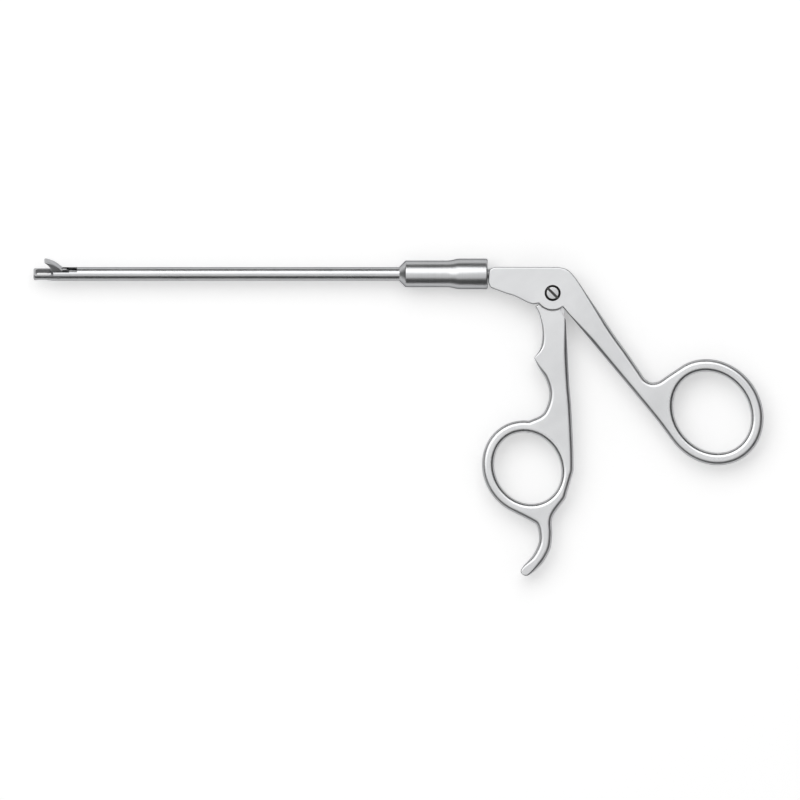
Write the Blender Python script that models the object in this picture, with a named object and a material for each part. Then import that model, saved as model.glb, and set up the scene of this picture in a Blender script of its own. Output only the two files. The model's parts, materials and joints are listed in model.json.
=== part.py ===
"""Arthroscopic punch with ring handles, lying on its side, in metres.

+X runs from the tip to the handles, +Y to the side that the jaw opens, +Z across the handles.
Every size below is real. Until the last step everything is placed from the handle pivot at 0, 0, 0.
"""

from math import asin, ceil, cos, hypot, pi, radians, sin, sqrt, tan

import bmesh
import bpy
from mathutils import Matrix, Vector

# Clearances
PIN_GAP = 0.00010  # round a moving pin
RUN_GAP = 0.00020  # beside a moving tongue
SEAT_GAP = 0.00010  # round a fixed piece in its bore
FACE_GAP = 0.00030  # between two faces that meet end to end
SWING_GAP = 0.00035  # between the lever's shoulder and the cheeks that it swings past
CUT_OVERLAP = 0.00050  # how far a bore runs on into the hollow that it opens

# Shaft
AXIS_Y = 0.00670  # height of the shaft's axis above the handle pivot
TUBE_RADIUS = 0.00235
BORE_RADIUS = 0.00170
TUBE_END_X = -0.03300
NOSE_RADIUS = 0.00090  # rounding of the tube's closed front edge
ROLL = radians(40)  # how far the jaw's plane is turned out of the handles' plane

# Jaw, basket and the notch between them, in the shaft's turned frame
HINGE_X = -0.17290
TIP_REACH = 0.00880  # from the hinge forwards to the front of the basket
HINGE_PIN_RADIUS = 0.00040
LINK_PIN_RADIUS = 0.00030
CRANK = 0.00135  # from the hinge pin to the link pin
JAW_TRAVEL = radians(50)
JAW_WIDTH = 0.00270
JAW_SLOT_RADIUS = 0.00275
LUG_RADIUS = 0.00120
CUT_GAP = 0.00015  # between the jaw and the basket's walls
JAW_CORNER = 0.00055  # rounding of the jaw's two front corners
JAW_TIP_GAP = 0.00025  # between the jaw's tip and the basket's front
JAW_BACK_BEVEL = 0.00030
JAW_BACK = [
    (-0.0071, 0.00070), (-0.0065, 0.00120), (-0.0058, 0.00156), (-0.0049, 0.00190),
    (-0.0039, 0.00214), (-0.0029, 0.00228), (-0.0018, 0.00235), (-0.0006, 0.00232), (0.0005, 0.00130),
]
JAW_UNDER = [
    (-0.0012, -0.00080), (-0.0026, -0.00055), (-0.0033, -0.00020),
    (-0.0044, 0.00008), (-0.0057, 0.00028), (-0.0071, 0.00022),
]
JAW_TIP_UNDER = 0.00005  # heights of the jaw's edge at its tip
JAW_TIP_BACK = 0.00015
POCKET_GAP = 0.00090  # behind the jaw's lug
RIM_HEIGHT = 0.00090
BASKET_WALL = 0.00070  # at the basket's front
WINDOW_CORNER = 0.00095  # rounding of the opening's two front corners
RELIEF_DEPTH = 0.00010  # the basket's outside is ground down by this in front of a slanted line
RELIEF_EDGE = [(0.0072, 0.0024), (0.0065, 0.0013), (0.0060, 0.0005), (0.0051, -0.0008), (0.0042, -0.0024)]
WINDOW_FLARE = radians(11.5)  # how far each side of the window leans out towards the underside
WINDOW_SETBACK = 0.00270  # from the hinge forwards to the back of the opening
RIM_SETBACK = 0.00190  # from the hinge forwards to the back of the lowered rim
NOTCH_REACH = 0.00640  # from the hinge back to the end of the notch
TIP_JOINT_REACH = 0.00890  # from the hinge back to where the basket tip ends and the plain tube starts
SPIGOT_LENGTH = 0.00300  # of the tip inside the tube
SPIGOT_SHOULDER = 0.00080

# Drive rod
ROD_RADIUS = 0.00090
EYE_TONGUE = 0.00070  # thickness of the front eye
EYE_WALL = 0.00032
EYE_WEB = 0.00091  # half height of the front eye where it runs into its barrel
BARREL_LENGTH = 0.00400
FRONT_BARREL_RADIUS = 0.00130
FRONT_BARREL_SETBACK = 0.00360  # from the jaw's hinge to the front barrel
GUIDE_LENGTH = 0.00400
YOKE_TONGUE = 0.00110
YOKE_EYE_RADIUS = 0.00150
YOKE_WEB = 0.00116  # half height of the yoke where it runs into its barrel
YOKE_BARREL_RADIUS = 0.00145
YOKE_BARREL_LENGTH = 0.00580
YOKE_REACH = 0.00380  # from the drive pin to the yoke's barrel
ROD_ENTRY = 0.00340  # how far the rod reaches into each barrel
NUT_ACROSS_FLATS = 0.00270
NUT_LENGTH = 0.00160

# Hub, ferrule and nipple
HUB_FRONT_X = -0.05360
HUB_REAR_X = -0.02275
HUB_NOSE_LAND = 0.00010  # flat ring left round the tube by the hub's front chamfer
HUB_FRONT_RADIUS = 0.00465
HUB_REAR_RADIUS = 0.00535
HUB_WAIST_FRONT_X = -0.03690
HUB_WAIST_REAR_X = -0.03240
HUB_CORNER = 0.00060
HUB_BORE_RADIUS = 0.00380
HUB_SHOULDER_X = -0.04000
FERRULE_LENGTH = 0.00640
STEM_RADIUS = 0.00170
STEM_LENGTH = 0.00940

# Handle body, lever and pivot
BODY_THICKNESS = 0.00700
SLOT_WIDTH = 0.00340
SLOT_FRONT_X = -0.01260
SLOT_REAR_X = 0.00600
BOSS_RADIUS = 0.00605
GRIP_THICKNESS = 0.00480  # at the far side of each ring
EDGE_RADIUS = 0.00050
GRIP_EDGE_RADIUS = 0.00165
LEVER_THICKNESS = 0.00600
LEVER_BOSS_RADIUS = 0.00520
LEVER_HEAD_RADIUS = 0.00200
DRIVE_PIN_RADIUS = 0.00070
SCREW_RADIUS = 0.00150
SCREW_HEAD_RADIUS = 0.00265
SCREW_HEAD_HEIGHT = 0.00110
SCREW_HEAD_PROUD = 0.00025
SCREW_SLOT_WIDTH = 0.00065
SCREW_SLOT_DEPTH = 0.00060
SCREW_SLOT_ANGLE = radians(-45)
SCREW_TIP_INSET = 0.00030

# Both handles are flat as far as GRIP_START from the pivot, and fully rounded GRIP_BLEND further out
GRIP_START = 0.01000
GRIP_BLEND = 0.01200
EDGE_GROWTH = 0.20  # how fast the rounding grows away from the lever's sharp points

# Thumb ring and finger ring: hole centres, half axes, the long axis' direction and the band's width
THUMB_RING = {"centre": (0.0558, -0.0417), "long": 0.0150, "short": 0.0128, "turn": radians(-52.4)}
THUMB_BAND = 0.00440
FINGER_RING = {"centre": (-0.0087, -0.0613), "long": 0.0129, "short": 0.0114, "turn": radians(-58.8)}
FINGER_BAND = 0.00420

# Outline of the thumb handle, anticlockwise from the boss round the pivot
BOSS_START = radians(217)
BOSS_END = radians(306)
SHANK_UNDER = [(0.01085, -0.01360), (0.01925, -0.02370), (0.02800, -0.03420), (0.03640, -0.04440)]
RING_SHOULDER = [(0.0406, -0.0286), (0.0372, -0.0309), (0.0344, -0.0313)]
SHANK_OVER = [(0.03230, -0.03010), (0.02642, -0.02146), (0.02188, -0.01516), (0.01767, -0.00886)]
SHANK_TOP = (0.01242, -0.00116)
KEEL = [(-0.01660, -0.00010), (-0.01312, -0.00120), (-0.00892, -0.00330), (-0.00680, -0.00400)]
# Heights of these two are from the shaft's axis, and the nose's lengths from its front face
SHOULDER = [(0.00962, -0.00366), (0.00730, -0.00050), (0.00500, 0.00160), (0.00200, 0.00240)]
NOSE = [(0.0022, 0.0024), (0.0006, 0.0017), (0.0, 0.0), (0.0, -0.0032), (0.0008, -0.0049)]

# Outline of the finger lever, anticlockwise from its upper left corner
LEVER_LEFT = [(-0.00610, -0.00470), (-0.00470, -0.00730), (-0.00375, -0.01150), (-0.00360, -0.01560)]
SPUR_HOLLOW = (-0.00440, -0.01960)
SPUR = (-0.00650, -0.02270)
WAIST = [(-0.0048, -0.0262), (-0.0024, -0.0303), (-0.0012, -0.0345), (-0.0016, -0.0384), (-0.0036, -0.0424)]
HOOK_BACK = [
    (-0.0075, -0.0799), (-0.0054, -0.0817), (-0.0048, -0.0868), (-0.0068, -0.0916), (-0.0102, -0.0955),
]
HOOK_END = (-0.01060, -0.09850)
HOOK_TURN = [(-0.0112, -0.0972), HOOK_END, (-0.0088, -0.0990), (-0.0064, -0.0974)]
HOOK_FRONT = [(-0.0032, -0.0940), (-0.0008, -0.0893), (-0.0002, -0.0845), (0.0000, -0.0784)]
LEVER_RIGHT = [(0.00720, -0.05500), (0.00650, -0.04040), (0.00580, -0.03200), (0.00510, -0.01940)]
LEVER_TOP = [(0.00440, -0.00680), (0.00420, -0.00360), (-0.00480, -0.00395)]
TONGUE_INSET = 0.00090  # the lever's thin tongue lies this far inside its outline

# What the driving sizes give
TIP_X = HINGE_X - TIP_REACH
WINDOW_BACK_X = HINGE_X - WINDOW_SETBACK
RIM_BACK_X = HINGE_X - RIM_SETBACK
NOTCH_BACK_X = HINGE_X + NOTCH_REACH
TIP_JOINT_X = HINGE_X + TIP_JOINT_REACH
STROKE = 2 * CRANK * sin(JAW_TRAVEL / 2)
LEVER_TRAVEL = 2 * asin(STROKE / 2 / AXIS_Y)
CRANK_LIFT = CRANK * (1 - cos(JAW_TRAVEL / 2))
DRIVE_PIN = Vector((AXIS_Y * sin(LEVER_TRAVEL / 2), AXIS_Y * cos(LEVER_TRAVEL / 2)))
EYE_HEIGHT = CRANK - CRANK_LIFT / 2
LINK_SETBACK = CRANK * sin(JAW_TRAVEL / 2)  # how far behind the hinge the link pin starts
TONGUE = SLOT_WIDTH - 2 * RUN_GAP
WINDOW_HALF = JAW_WIDTH / 2 + CUT_GAP

CIRCLE_STEPS = 32
CURVE_STEP = 0.0020
HOOK_STEP = 0.0006
JAW_STEP = 0.0004


def scene_cleared():
    for obj in list(bpy.data.objects):
        bpy.data.objects.remove(obj, do_unlink=True)


def material(name, colour, roughness, metallic=1.0):
    made = bpy.data.materials.new(name)
    made.use_nodes = True
    shader = made.node_tree.nodes["Principled BSDF"]
    shader.inputs["Base Color"].default_value = (*colour, 1)
    shader.inputs["Roughness"].default_value = roughness
    shader.inputs["Metallic"].default_value = metallic
    return made


def shape(name, bm, look=None, parent=None):
    """An object from a bmesh, with its faces turned outwards."""
    bmesh.ops.remove_doubles(bm, verts=bm.verts, dist=1e-7)
    bmesh.ops.recalc_face_normals(bm, faces=bm.faces)
    mesh = bpy.data.meshes.new(name)
    bm.to_mesh(mesh)
    bm.free()
    mesh.shade_smooth()
    mesh.set_sharp_from_angle(angle=radians(30))
    obj = bpy.data.objects.new(name, mesh)
    bpy.context.scene.collection.objects.link(obj)
    if look:
        mesh.materials.append(look)
    obj.parent = parent
    return obj


def empty(name, location, parent=None, turn=0.0, axis="X"):
    obj = bpy.data.objects.new(name, None)
    bpy.context.scene.collection.objects.link(obj)
    obj.location = location
    obj.rotation_euler["XYZ".index(axis)] = turn
    obj.parent = parent
    return obj


def joined(target, other, operation):
    """A Boolean on target by a helper that isn't part of the model."""
    other.hide_render = True
    other.display_type = "WIRE"
    other.parent = target.parent
    modifier = target.modifiers.new(other.name, "BOOLEAN")
    modifier.operation = operation
    modifier.object = other


def cut(target, *cutters):
    for cutter in cutters:
        joined(target, cutter, "DIFFERENCE")


def fused(target, *others):
    for other in others:
        joined(target, other, "UNION")


def circle(x, y, radius, steps=CIRCLE_STEPS, start=0.0, end=2 * pi):
    """Points along an arc, anticlockwise. A full circle leaves out its last point."""
    count = steps if end - start < 2 * pi - 1e-9 else steps - 1
    angles = [start + (end - start) * i / steps for i in range(count + 1)]
    return [(x + radius * cos(a), y + radius * sin(a)) for a in angles]


def ring_arc(ring, band, start, end, steps):
    """Points along the ellipse that lies band outside a ring's hole."""
    along = Vector((cos(ring["turn"]), sin(ring["turn"])))
    across = Vector((-along.y, along.x))
    centre = Vector(ring["centre"])
    points = []
    for i in range(steps + 1):
        angle = start + (end - start) * i / steps
        offset = along * (ring["long"] + band) * cos(angle) + across * (ring["short"] + band) * sin(angle)
        points.append(tuple(centre + offset))
    return points


def smooth(points, step=CURVE_STEP):
    """A curve through the points, cut into pieces about one step long."""
    path = [Vector(p) for p in points]
    ends = [2 * path[0] - path[1], *path, 2 * path[-1] - path[-2]]
    made = []
    for before, here, there, after in zip(ends, ends[1:], ends[2:], ends[3:]):
        pieces = max(1, ceil((there - here).length / step))
        for i in range(pieces):
            t = i / pieces
            made.append(
                tuple(
                    0.5
                    * (
                        2 * here
                        + (there - before) * t
                        + (2 * before - 5 * here + 4 * there - after) * t**2
                        + (3 * here - before - 3 * there + after) * t**3
                    )
                )
            )
    return made + [tuple(path[-1])]


def outline(*runs):
    """One closed outline from several runs, with the points that two runs share kept once."""
    points = []
    for run in runs:
        for point in run:
            if not points or hypot(point[0] - points[-1][0], point[1] - points[-1][1]) > 1e-5:
                points.append(point)
    if hypot(points[0][0] - points[-1][0], points[0][1] - points[-1][1]) < 1e-5:
        points.pop()
    return points


def inset(points, distance):
    """The outline moved towards the side on its left by the distance at each point."""
    count = len(points)
    moved = []
    for i, point in enumerate(points):
        before = Vector(point) - Vector(points[i - 1])
        after = Vector(points[(i + 1) % count]) - Vector(point)
        direction = (before.normalized() + after.normalized()).normalized()
        normal = Vector((-direction.y, direction.x))
        bend = max(0.5, direction.dot(after.normalized()))
        moved.append(tuple(Vector(point) + normal * distance(*point) / bend))
    return moved


def forging(name, outer, holes, half, edge, folds, look, parent):
    """A plate with rounded edges. half and edge give its half thickness and rounding at x, y.

    Each fold is a point and a direction in the plan, where the flat sides may change their slope.
    """
    bm = bmesh.new()
    levels = [radians(a) for a in (90, 45, 0)]
    sides = [(-1, a) for a in levels] + [(1, a) for a in reversed(levels)]
    caps = {-1: [], 1: []}
    for loop in (outer, *holes):
        rings = []
        for side, angle in sides:
            plan = inset(loop, lambda x, y, a=angle: edge(x, y) * (1 - cos(a)))
            verts = [
                bm.verts.new((px, py, side * (half(x, y) - edge(x, y) * (1 - sin(angle)))))
                for (px, py), (x, y) in zip(plan, loop)
            ]
            rings.append(verts)
        for lower, upper in zip(rings, rings[1:]):
            for i in range(len(loop)):
                bm.faces.new((lower[i - 1], lower[i], upper[i], upper[i - 1]))
        for side, rim in ((-1, rings[0]), (1, rings[-1])):
            for vert in rim:
                vert.co.z = side * half(vert.co.x, vert.co.y)
            caps[side] += [bm.edges.get((rim[i - 1], rim[i])) for i in range(len(rim))]
    for side, rim in caps.items():
        filled = bmesh.ops.triangle_fill(bm, use_beauty=True, use_dissolve=False, edges=rim)
        faces = [item for item in filled["geom"] if isinstance(item, bmesh.types.BMFace)]
        for point, direction in folds:
            geometry = set(faces)
            for face in faces:
                geometry.update(face.edges, face.verts)
            result = bmesh.ops.bisect_plane(
                bm, geom=list(geometry), plane_co=(*point, 0), plane_no=(*direction, 0), dist=1e-7
            )
            for item in result["geom_cut"]:
                if isinstance(item, bmesh.types.BMVert):
                    item.co.z = side * half(item.co.x, item.co.y)
            faces = [item for item in result["geom"] if isinstance(item, bmesh.types.BMFace)]
    return shape(name, bm, look, parent)


def loft(name, bottom, low, top, high, look=None, parent=None):
    """A solid between two outlines with as many points, at the heights low and high."""
    bm = bmesh.new()
    lower = [bm.verts.new((x, y, low)) for x, y in bottom]
    upper = [bm.verts.new((x, y, high)) for x, y in top]
    bm.faces.new(lower[::-1])
    bm.faces.new(upper)
    for i in range(len(lower)):
        bm.faces.new((lower[i - 1], lower[i], upper[i], upper[i - 1]))
    return shape(name, bm, look, parent)


def prism(name, points, low, high, look=None, parent=None):
    """An outline drawn along Z from low to high."""
    return loft(name, points, low, points, high, look, parent)


def turned(name, profile, look=None, parent=None, steps=CIRCLE_STEPS):
    """A closed profile of (x, radius) turned round the X axis."""
    bm = bmesh.new()
    rings = []
    for i in range(steps):
        angle = 2 * pi * i / steps
        rings.append([bm.verts.new((x, r * cos(angle), r * sin(angle))) for x, r in profile])
    for i in range(steps):
        for j in range(len(profile)):
            corners = [rings[i - 1][j - 1], rings[i - 1][j], rings[i][j], rings[i][j - 1]]
            bm.faces.new(corners)
    return shape(name, bm, look, parent)


def cylinder(name, radius, low, high, look=None, parent=None, steps=CIRCLE_STEPS):
    """A round bar along Z."""
    return prism(name, circle(0, 0, radius, steps), low, high, look, parent)


def x_bar(name, radius, low, high, look=None, parent=None, steps=CIRCLE_STEPS):
    """A round bar along X."""
    bm = bmesh.new()
    bmesh.ops.create_cone(
        bm,
        cap_ends=True,
        segments=steps,
        radius1=radius,
        radius2=radius,
        depth=high - low,
        matrix=Matrix.Translation(((low + high) / 2, 0, 0)) @ Matrix.Rotation(pi / 2, 4, "Y"),
    )
    return shape(name, bm, look, parent)


def x_tube(name, outer, inner, low, high, look=None, parent=None):
    return turned(name, [(low, inner), (low, outer), (high, outer), (high, inner)], look, parent)


def box(name, low, high):
    bm = bmesh.new()
    bmesh.ops.create_cube(bm, size=1.0)
    for vert in bm.verts:
        vert.co = [high[i] if vert.co[i] > 0 else low[i] for i in range(3)]
    return shape(name, bm)


def at(obj, x=0.0, y=0.0, z=0.0, turn=None):
    """Places an object, and turns it round Z where turn is given."""
    obj.location = (x, y, z)
    if turn is not None:
        obj.rotation_euler.z = turn
    return obj


def rotated(point, angle):
    return (point[0] * cos(angle) - point[1] * sin(angle), point[0] * sin(angle) + point[1] * cos(angle))


def taper(ring, start, near, far):
    """Half the thickness at x, y: near as far as start on the line to the ring, then thinner to far."""
    centre = Vector(ring["centre"])
    along = centre.normalized()
    end = centre.length + ring["long"]

    def half(x, y):
        share = (along.dot(Vector((x, y))) - start) / (end - start)
        return (near + (far - near) * max(0.0, share)) / 2

    return half, [(along * start, along)]


def body_surface():
    """Half thickness, edge rounding and fold of the thumb handle."""
    half, folds = taper(THUMB_RING, GRIP_START, BODY_THICKNESS, GRIP_THICKNESS)

    def edge(x, y):
        share = min(1.0, max(0.0, (hypot(x, y) - GRIP_START) / GRIP_BLEND))
        nose = 0.0 if x < 0 else share
        return EDGE_RADIUS + (GRIP_EDGE_RADIUS - EDGE_RADIUS) * nose

    return half, edge, folds


def lever_surface():
    """Half thickness, edge rounding and fold of the finger lever."""
    half, folds = taper(FINGER_RING, GRIP_START, LEVER_THICKNESS, GRIP_THICKNESS)

    def edge(x, y):
        share = min(1.0, max(0.0, (hypot(x, y) - GRIP_START) / GRIP_BLEND))
        base = EDGE_RADIUS + (GRIP_EDGE_RADIUS - EDGE_RADIUS) * share
        sharpest = min(hypot(x - px, y - py) for px, py in (SPUR, HOOK_END))
        return min(base, EDGE_RADIUS + sharpest * EDGE_GROWTH)

    return half, edge, folds


def thumb_outline():
    boss = circle(0, 0, BOSS_RADIUS, 12, BOSS_START, BOSS_END)
    ring = ring_arc(THUMB_RING, THUMB_BAND, radians(-92), radians(172), 36)
    under = smooth([boss[-1], *SHANK_UNDER, ring[0]])
    valley = smooth([ring[-1], *RING_SHOULDER, SHANK_OVER[0]])
    over = smooth([*SHANK_OVER, SHANK_TOP])
    shoulder = smooth([SHANK_TOP, *((x, AXIS_Y + y) for x, y in SHOULDER)])
    front = HUB_REAR_X + FACE_GAP
    nose = smooth([(front + x, AXIS_Y + y) for x, y in NOSE])
    keel = smooth([nose[-1], *KEEL])
    return outline(boss, under, ring, valley, over, shoulder, nose, keel)


def lever_outline():
    ring_left = ring_arc(FINGER_RING, FINGER_BAND, radians(145), radians(306), 20)
    ring_right = ring_arc(FINGER_RING, FINGER_BAND, radians(22), radians(58), 5)
    scallop = smooth([*LEVER_LEFT, SPUR_HOLLOW, SPUR])
    waist = smooth([SPUR, *WAIST, ring_left[0]])
    hook_back = smooth([ring_left[-1], *HOOK_BACK])
    hook_turn = smooth([hook_back[-1], *HOOK_TURN], HOOK_STEP)
    hook_front = smooth([hook_turn[-1], *HOOK_FRONT, ring_right[0]])
    right = smooth([ring_right[-1], *LEVER_RIGHT, LEVER_TOP[0]])
    return outline(scallop, waist, ring_left, hook_back, hook_turn, hook_front, right, LEVER_TOP)


def ring_hole(ring):
    return ring_arc(ring, 0, 0, 2 * pi, 40)[:0:-1]


def thumb_handle(look, parent):
    half, edge, folds = body_surface()
    holes = [ring_hole(THUMB_RING)]
    handle = forging("thumb_handle", thumb_outline(), holes, half, edge, folds, look, parent)
    far = BODY_THICKNESS
    tall = BOSS_RADIUS + AXIS_Y
    wide = SLOT_WIDTH / 2
    slot = box("lever_slot_cut", (SLOT_FRONT_X, -tall, -wide), (SLOT_REAR_X, tall, wide))
    stem = x_bar("stem_bore_cut", STEM_RADIUS + SEAT_GAP, HUB_REAR_X - far, SLOT_FRONT_X + CUT_OVERLAP)
    at(stem, y=AXIS_Y)
    pivot = cylinder("pivot_bore_cut", SCREW_RADIUS + SEAT_GAP, -far, far)
    seat = BODY_THICKNESS / 2 + SCREW_HEAD_PROUD - SCREW_HEAD_HEIGHT - FACE_GAP
    head = cylinder("screw_head_cut", SCREW_HEAD_RADIUS + SEAT_GAP, seat, far)
    cut(handle, slot, stem, pivot, head)
    return handle


def pivot_screw(look, parent):
    top = BODY_THICKNESS / 2 + SCREW_HEAD_PROUD
    tip = SCREW_TIP_INSET - BODY_THICKNESS / 2
    screw = cylinder("pivot_screw", SCREW_RADIUS, tip, top - SCREW_HEAD_HEIGHT / 2, look, parent)
    head = cylinder("screw_head", SCREW_HEAD_RADIUS, top - SCREW_HEAD_HEIGHT, top)
    fused(screw, head)
    reach, half = SCREW_HEAD_RADIUS * 2, SCREW_SLOT_WIDTH / 2
    driver = box("screw_slot_cut", (-reach, -half, top - SCREW_SLOT_DEPTH), (reach, half, top + reach))
    driver.rotation_euler.z = SCREW_SLOT_ANGLE
    cut(screw, driver)
    return screw


def hub_profile():
    steps = 6
    waist = []
    for i in range(steps + 1):
        share = i / steps
        x = HUB_WAIST_FRONT_X + (HUB_WAIST_REAR_X - HUB_WAIST_FRONT_X) * share
        rise = (1 - cos(pi * share)) / 2
        waist.append((x, HUB_FRONT_RADIUS + (HUB_REAR_RADIUS - HUB_FRONT_RADIUS) * rise))
    corner = [
        (HUB_REAR_X - HUB_CORNER * (1 - sin(a)), HUB_REAR_RADIUS - HUB_CORNER * (1 - cos(a)))
        for a in (radians(d) for d in (0, 30, 60, 90))
    ]
    bore = TUBE_RADIUS + SEAT_GAP
    nose = bore + HUB_NOSE_LAND
    chamfer = HUB_FRONT_RADIUS - nose
    front = [(HUB_FRONT_X, bore), (HUB_FRONT_X, nose), (HUB_FRONT_X + chamfer, HUB_FRONT_RADIUS)]
    rear = [(HUB_REAR_X, HUB_BORE_RADIUS), (HUB_SHOULDER_X, HUB_BORE_RADIUS), (HUB_SHOULDER_X, bore)]
    return front + waist + corner + rear


def hub_and_inside(steel, brass, shaft):
    turned("hub_sleeve", hub_profile(), steel, shaft, 40)
    inside = HUB_BORE_RADIUS - SEAT_GAP
    ferrule = HUB_SHOULDER_X + FACE_GAP
    x_tube("tube_ferrule", inside, TUBE_RADIUS + SEAT_GAP, ferrule, ferrule + FERRULE_LENGTH, steel, shaft)
    start = TUBE_END_X + FACE_GAP
    stem_end = HUB_REAR_X + STEM_LENGTH
    rod = ROD_RADIUS + RUN_GAP
    head = [(start, rod), (start, inside), (HUB_REAR_X, inside)]
    stem = [(HUB_REAR_X, STEM_RADIUS), (stem_end, STEM_RADIUS), (stem_end, rod)]
    turned("stem_nipple", head + stem, steel, shaft)
    first = TIP_JOINT_X + SPIGOT_LENGTH + FACE_GAP
    last = TUBE_END_X - FACE_GAP - GUIDE_LENGTH
    outer, inner = BORE_RADIUS - SEAT_GAP, ROD_RADIUS + PIN_GAP
    for i, place in enumerate(("front", "middle", "rear")):
        x = first + (last - first) * i / 2
        x_tube(f"rod_guide_{place}", outer, inner, x, x + GUIDE_LENGTH, brass, shaft)


def shaft_tube(look, shaft):
    x_tube("shaft_tube", TUBE_RADIUS, BORE_RADIUS, TIP_JOINT_X + SEAT_GAP, TUBE_END_X, look, shaft)


def basket_tip(look, shaft):
    """The lower cutting jaw: an open basket, the slot for the upper jaw, and a spigot for the tube."""
    nose = [
        (TIP_X + NOSE_RADIUS * (1 - cos(a)), TUBE_RADIUS - NOSE_RADIUS * (1 - sin(a)))
        for a in (radians(d) for d in (0, 22.5, 45, 67.5, 90))
    ]
    bore_front = WINDOW_BACK_X - CUT_GAP
    bore_back = TIP_JOINT_X - SPIGOT_SHOULDER
    spigot, spigot_end, rod = BORE_RADIUS - SEAT_GAP, TIP_JOINT_X + SPIGOT_LENGTH, ROD_RADIUS + RUN_GAP
    outside = [(TIP_X, 0), *nose, (TIP_JOINT_X, TUBE_RADIUS), (TIP_JOINT_X, spigot), (spigot_end, spigot)]
    bore = [(bore_back, rod), (bore_back, BORE_RADIUS), (bore_front, BORE_RADIUS), (bore_front, 0)]
    tip = turned("basket_tip", [*outside, (spigot_end, rod), *bore], look, shaft, 48)
    far = TUBE_RADIUS * 2
    rim = box("rim_cut", (TIP_X - far, RIM_HEIGHT, -far), (RIM_BACK_X, far, far))
    notch = box("notch_cut", (WINDOW_BACK_X, 0, -WINDOW_HALF), (NOTCH_BACK_X, far, WINDOW_HALF))
    pocket_back = HINGE_X + LUG_RADIUS + POCKET_GAP
    pocket = box("pocket_cut", (bore_front, -JAW_WIDTH / 2, -WINDOW_HALF), (pocket_back, far, WINDOW_HALF))
    pin = at(cylinder("hinge_bore_cut", HINGE_PIN_RADIUS + SEAT_GAP / 2, -far, far), x=HINGE_X)
    cut(tip, rim, window_cutter(), notch, pocket, pin, relief_cutter(shaft))


def square_nose(front, half, corner, back):
    """A plan with straight sides and a flat front whose two corners are rounded, anticlockwise."""
    upper = circle(front + corner, half - corner, corner, 6, pi / 2, pi)
    lower = circle(front + corner, corner - half, corner, 6, pi, 3 * pi / 2)
    return [(back, -half), (back, half), *upper, *lower]


def window_flare(height):
    """How much wider the basket's opening is at a height than at its rim."""
    return 1 + (RIM_HEIGHT - height) * tan(WINDOW_FLARE) / WINDOW_HALF


def window_cutter():
    """The basket's opening, rounded at the front and wider underneath."""
    plan = square_nose(TIP_X + BASKET_WALL, WINDOW_HALF, WINDOW_CORNER, WINDOW_BACK_X)
    low, high = -TUBE_RADIUS - CUT_GAP, RIM_HEIGHT + CUT_GAP
    bottom, top = ([(x, y * window_flare(z)) for x, y in plan] for z in (low, high))
    cutter = loft("window_cut", bottom, low, top, high)
    cutter.rotation_euler.x = -pi / 2
    return cutter


def relief_cutter(shaft):
    """What is ground off round the basket, in front of a slanted line."""
    far = TUBE_RADIUS * 2
    edge = smooth([(TIP_X + x, y) for x, y in RELIEF_EDGE], HOOK_STEP)
    points = [(TIP_X - far, -far), (edge[-1][0], -far), *edge[::-1], (edge[0][0], far), (TIP_X - far, far)]
    relief = prism("relief_cut", points, -far, far, parent=shaft)
    core = x_bar("relief_core", TUBE_RADIUS - RELIEF_DEPTH, TIP_X - far * 2, HINGE_X + far, steps=96)
    cut(relief, core)
    return relief


def round_back(jaw, start):
    """Bevels the two long edges of the jaw's back, from a little behind its tip to the hinge."""
    bm = bmesh.new()
    bm.from_mesh(jaw.data)
    edges = []
    for edge in bm.edges:
        side = any(abs(face.normal.z) > 0.9 for face in edge.link_faces)
        back = any(face.normal.y > 0.3 for face in edge.link_faces)
        if side and back and start < min(v.co.x for v in edge.verts) < 0:
            edges.append(edge)
    bmesh.ops.bevel(bm, geom=edges, offset=JAW_BACK_BEVEL, segments=2, profile=0.5, affect="EDGES")
    bm.to_mesh(jaw.data)
    bm.free()


def upper_jaw(look, hinge):
    """Modelled closed and turned open, so that what enters the basket follows the basket's size."""
    reach = TIP_REACH - BASKET_WALL - JAW_TIP_GAP
    back = smooth([(-reach, JAW_TIP_BACK), *JAW_BACK], JAW_STEP)
    root = circle(0, 0, LUG_RADIUS, 16, radians(-150), radians(60))
    under = smooth([*JAW_UNDER, (-reach, JAW_TIP_UNDER)], JAW_STEP)
    half = JAW_WIDTH / 2
    jaw = prism("upper_jaw", outline(under[::-1], root, back[::-1]), -half, half, look, hinge)
    round_back(jaw, JAW_BACK[0][0])
    plan = prism("jaw_plan", square_nose(-reach, half, JAW_CORNER, reach), -reach, reach)
    plan.rotation_euler.x = -pi / 2
    joined(jaw, plan, "INTERSECT")
    slot = cylinder("jaw_slot_cut", JAW_SLOT_RADIUS, -EYE_TONGUE / 2 - PIN_GAP, EYE_TONGUE / 2 + PIN_GAP)
    pin = cylinder("jaw_hinge_bore_cut", HINGE_PIN_RADIUS + PIN_GAP, -half * 2, half * 2)
    link = cylinder("jaw_link_bore_cut", LINK_PIN_RADIUS + SEAT_GAP / 2, -half * 2, half * 2)
    closed = pi / 2 + JAW_TRAVEL / 2
    at(link, x=CRANK * cos(closed), y=CRANK * sin(closed))
    cut(jaw, slot, pin, link)
    return jaw


def jaw_pins(look, shaft, hinge):
    flush = sqrt(TUBE_RADIUS**2 - HINGE_PIN_RADIUS**2) - SEAT_GAP / 2
    pin = cylinder("jaw_hinge_pin", HINGE_PIN_RADIUS, -flush, flush, look, shaft, 24)
    at(pin, x=HINGE_X)
    half = JAW_WIDTH / 2 - SEAT_GAP / 2
    link = cylinder("jaw_link_pin", LINK_PIN_RADIUS, -half, half, look, hinge, 24)
    closed = pi / 2 + JAW_TRAVEL / 2
    at(link, x=CRANK * cos(closed), y=CRANK * sin(closed))


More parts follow.
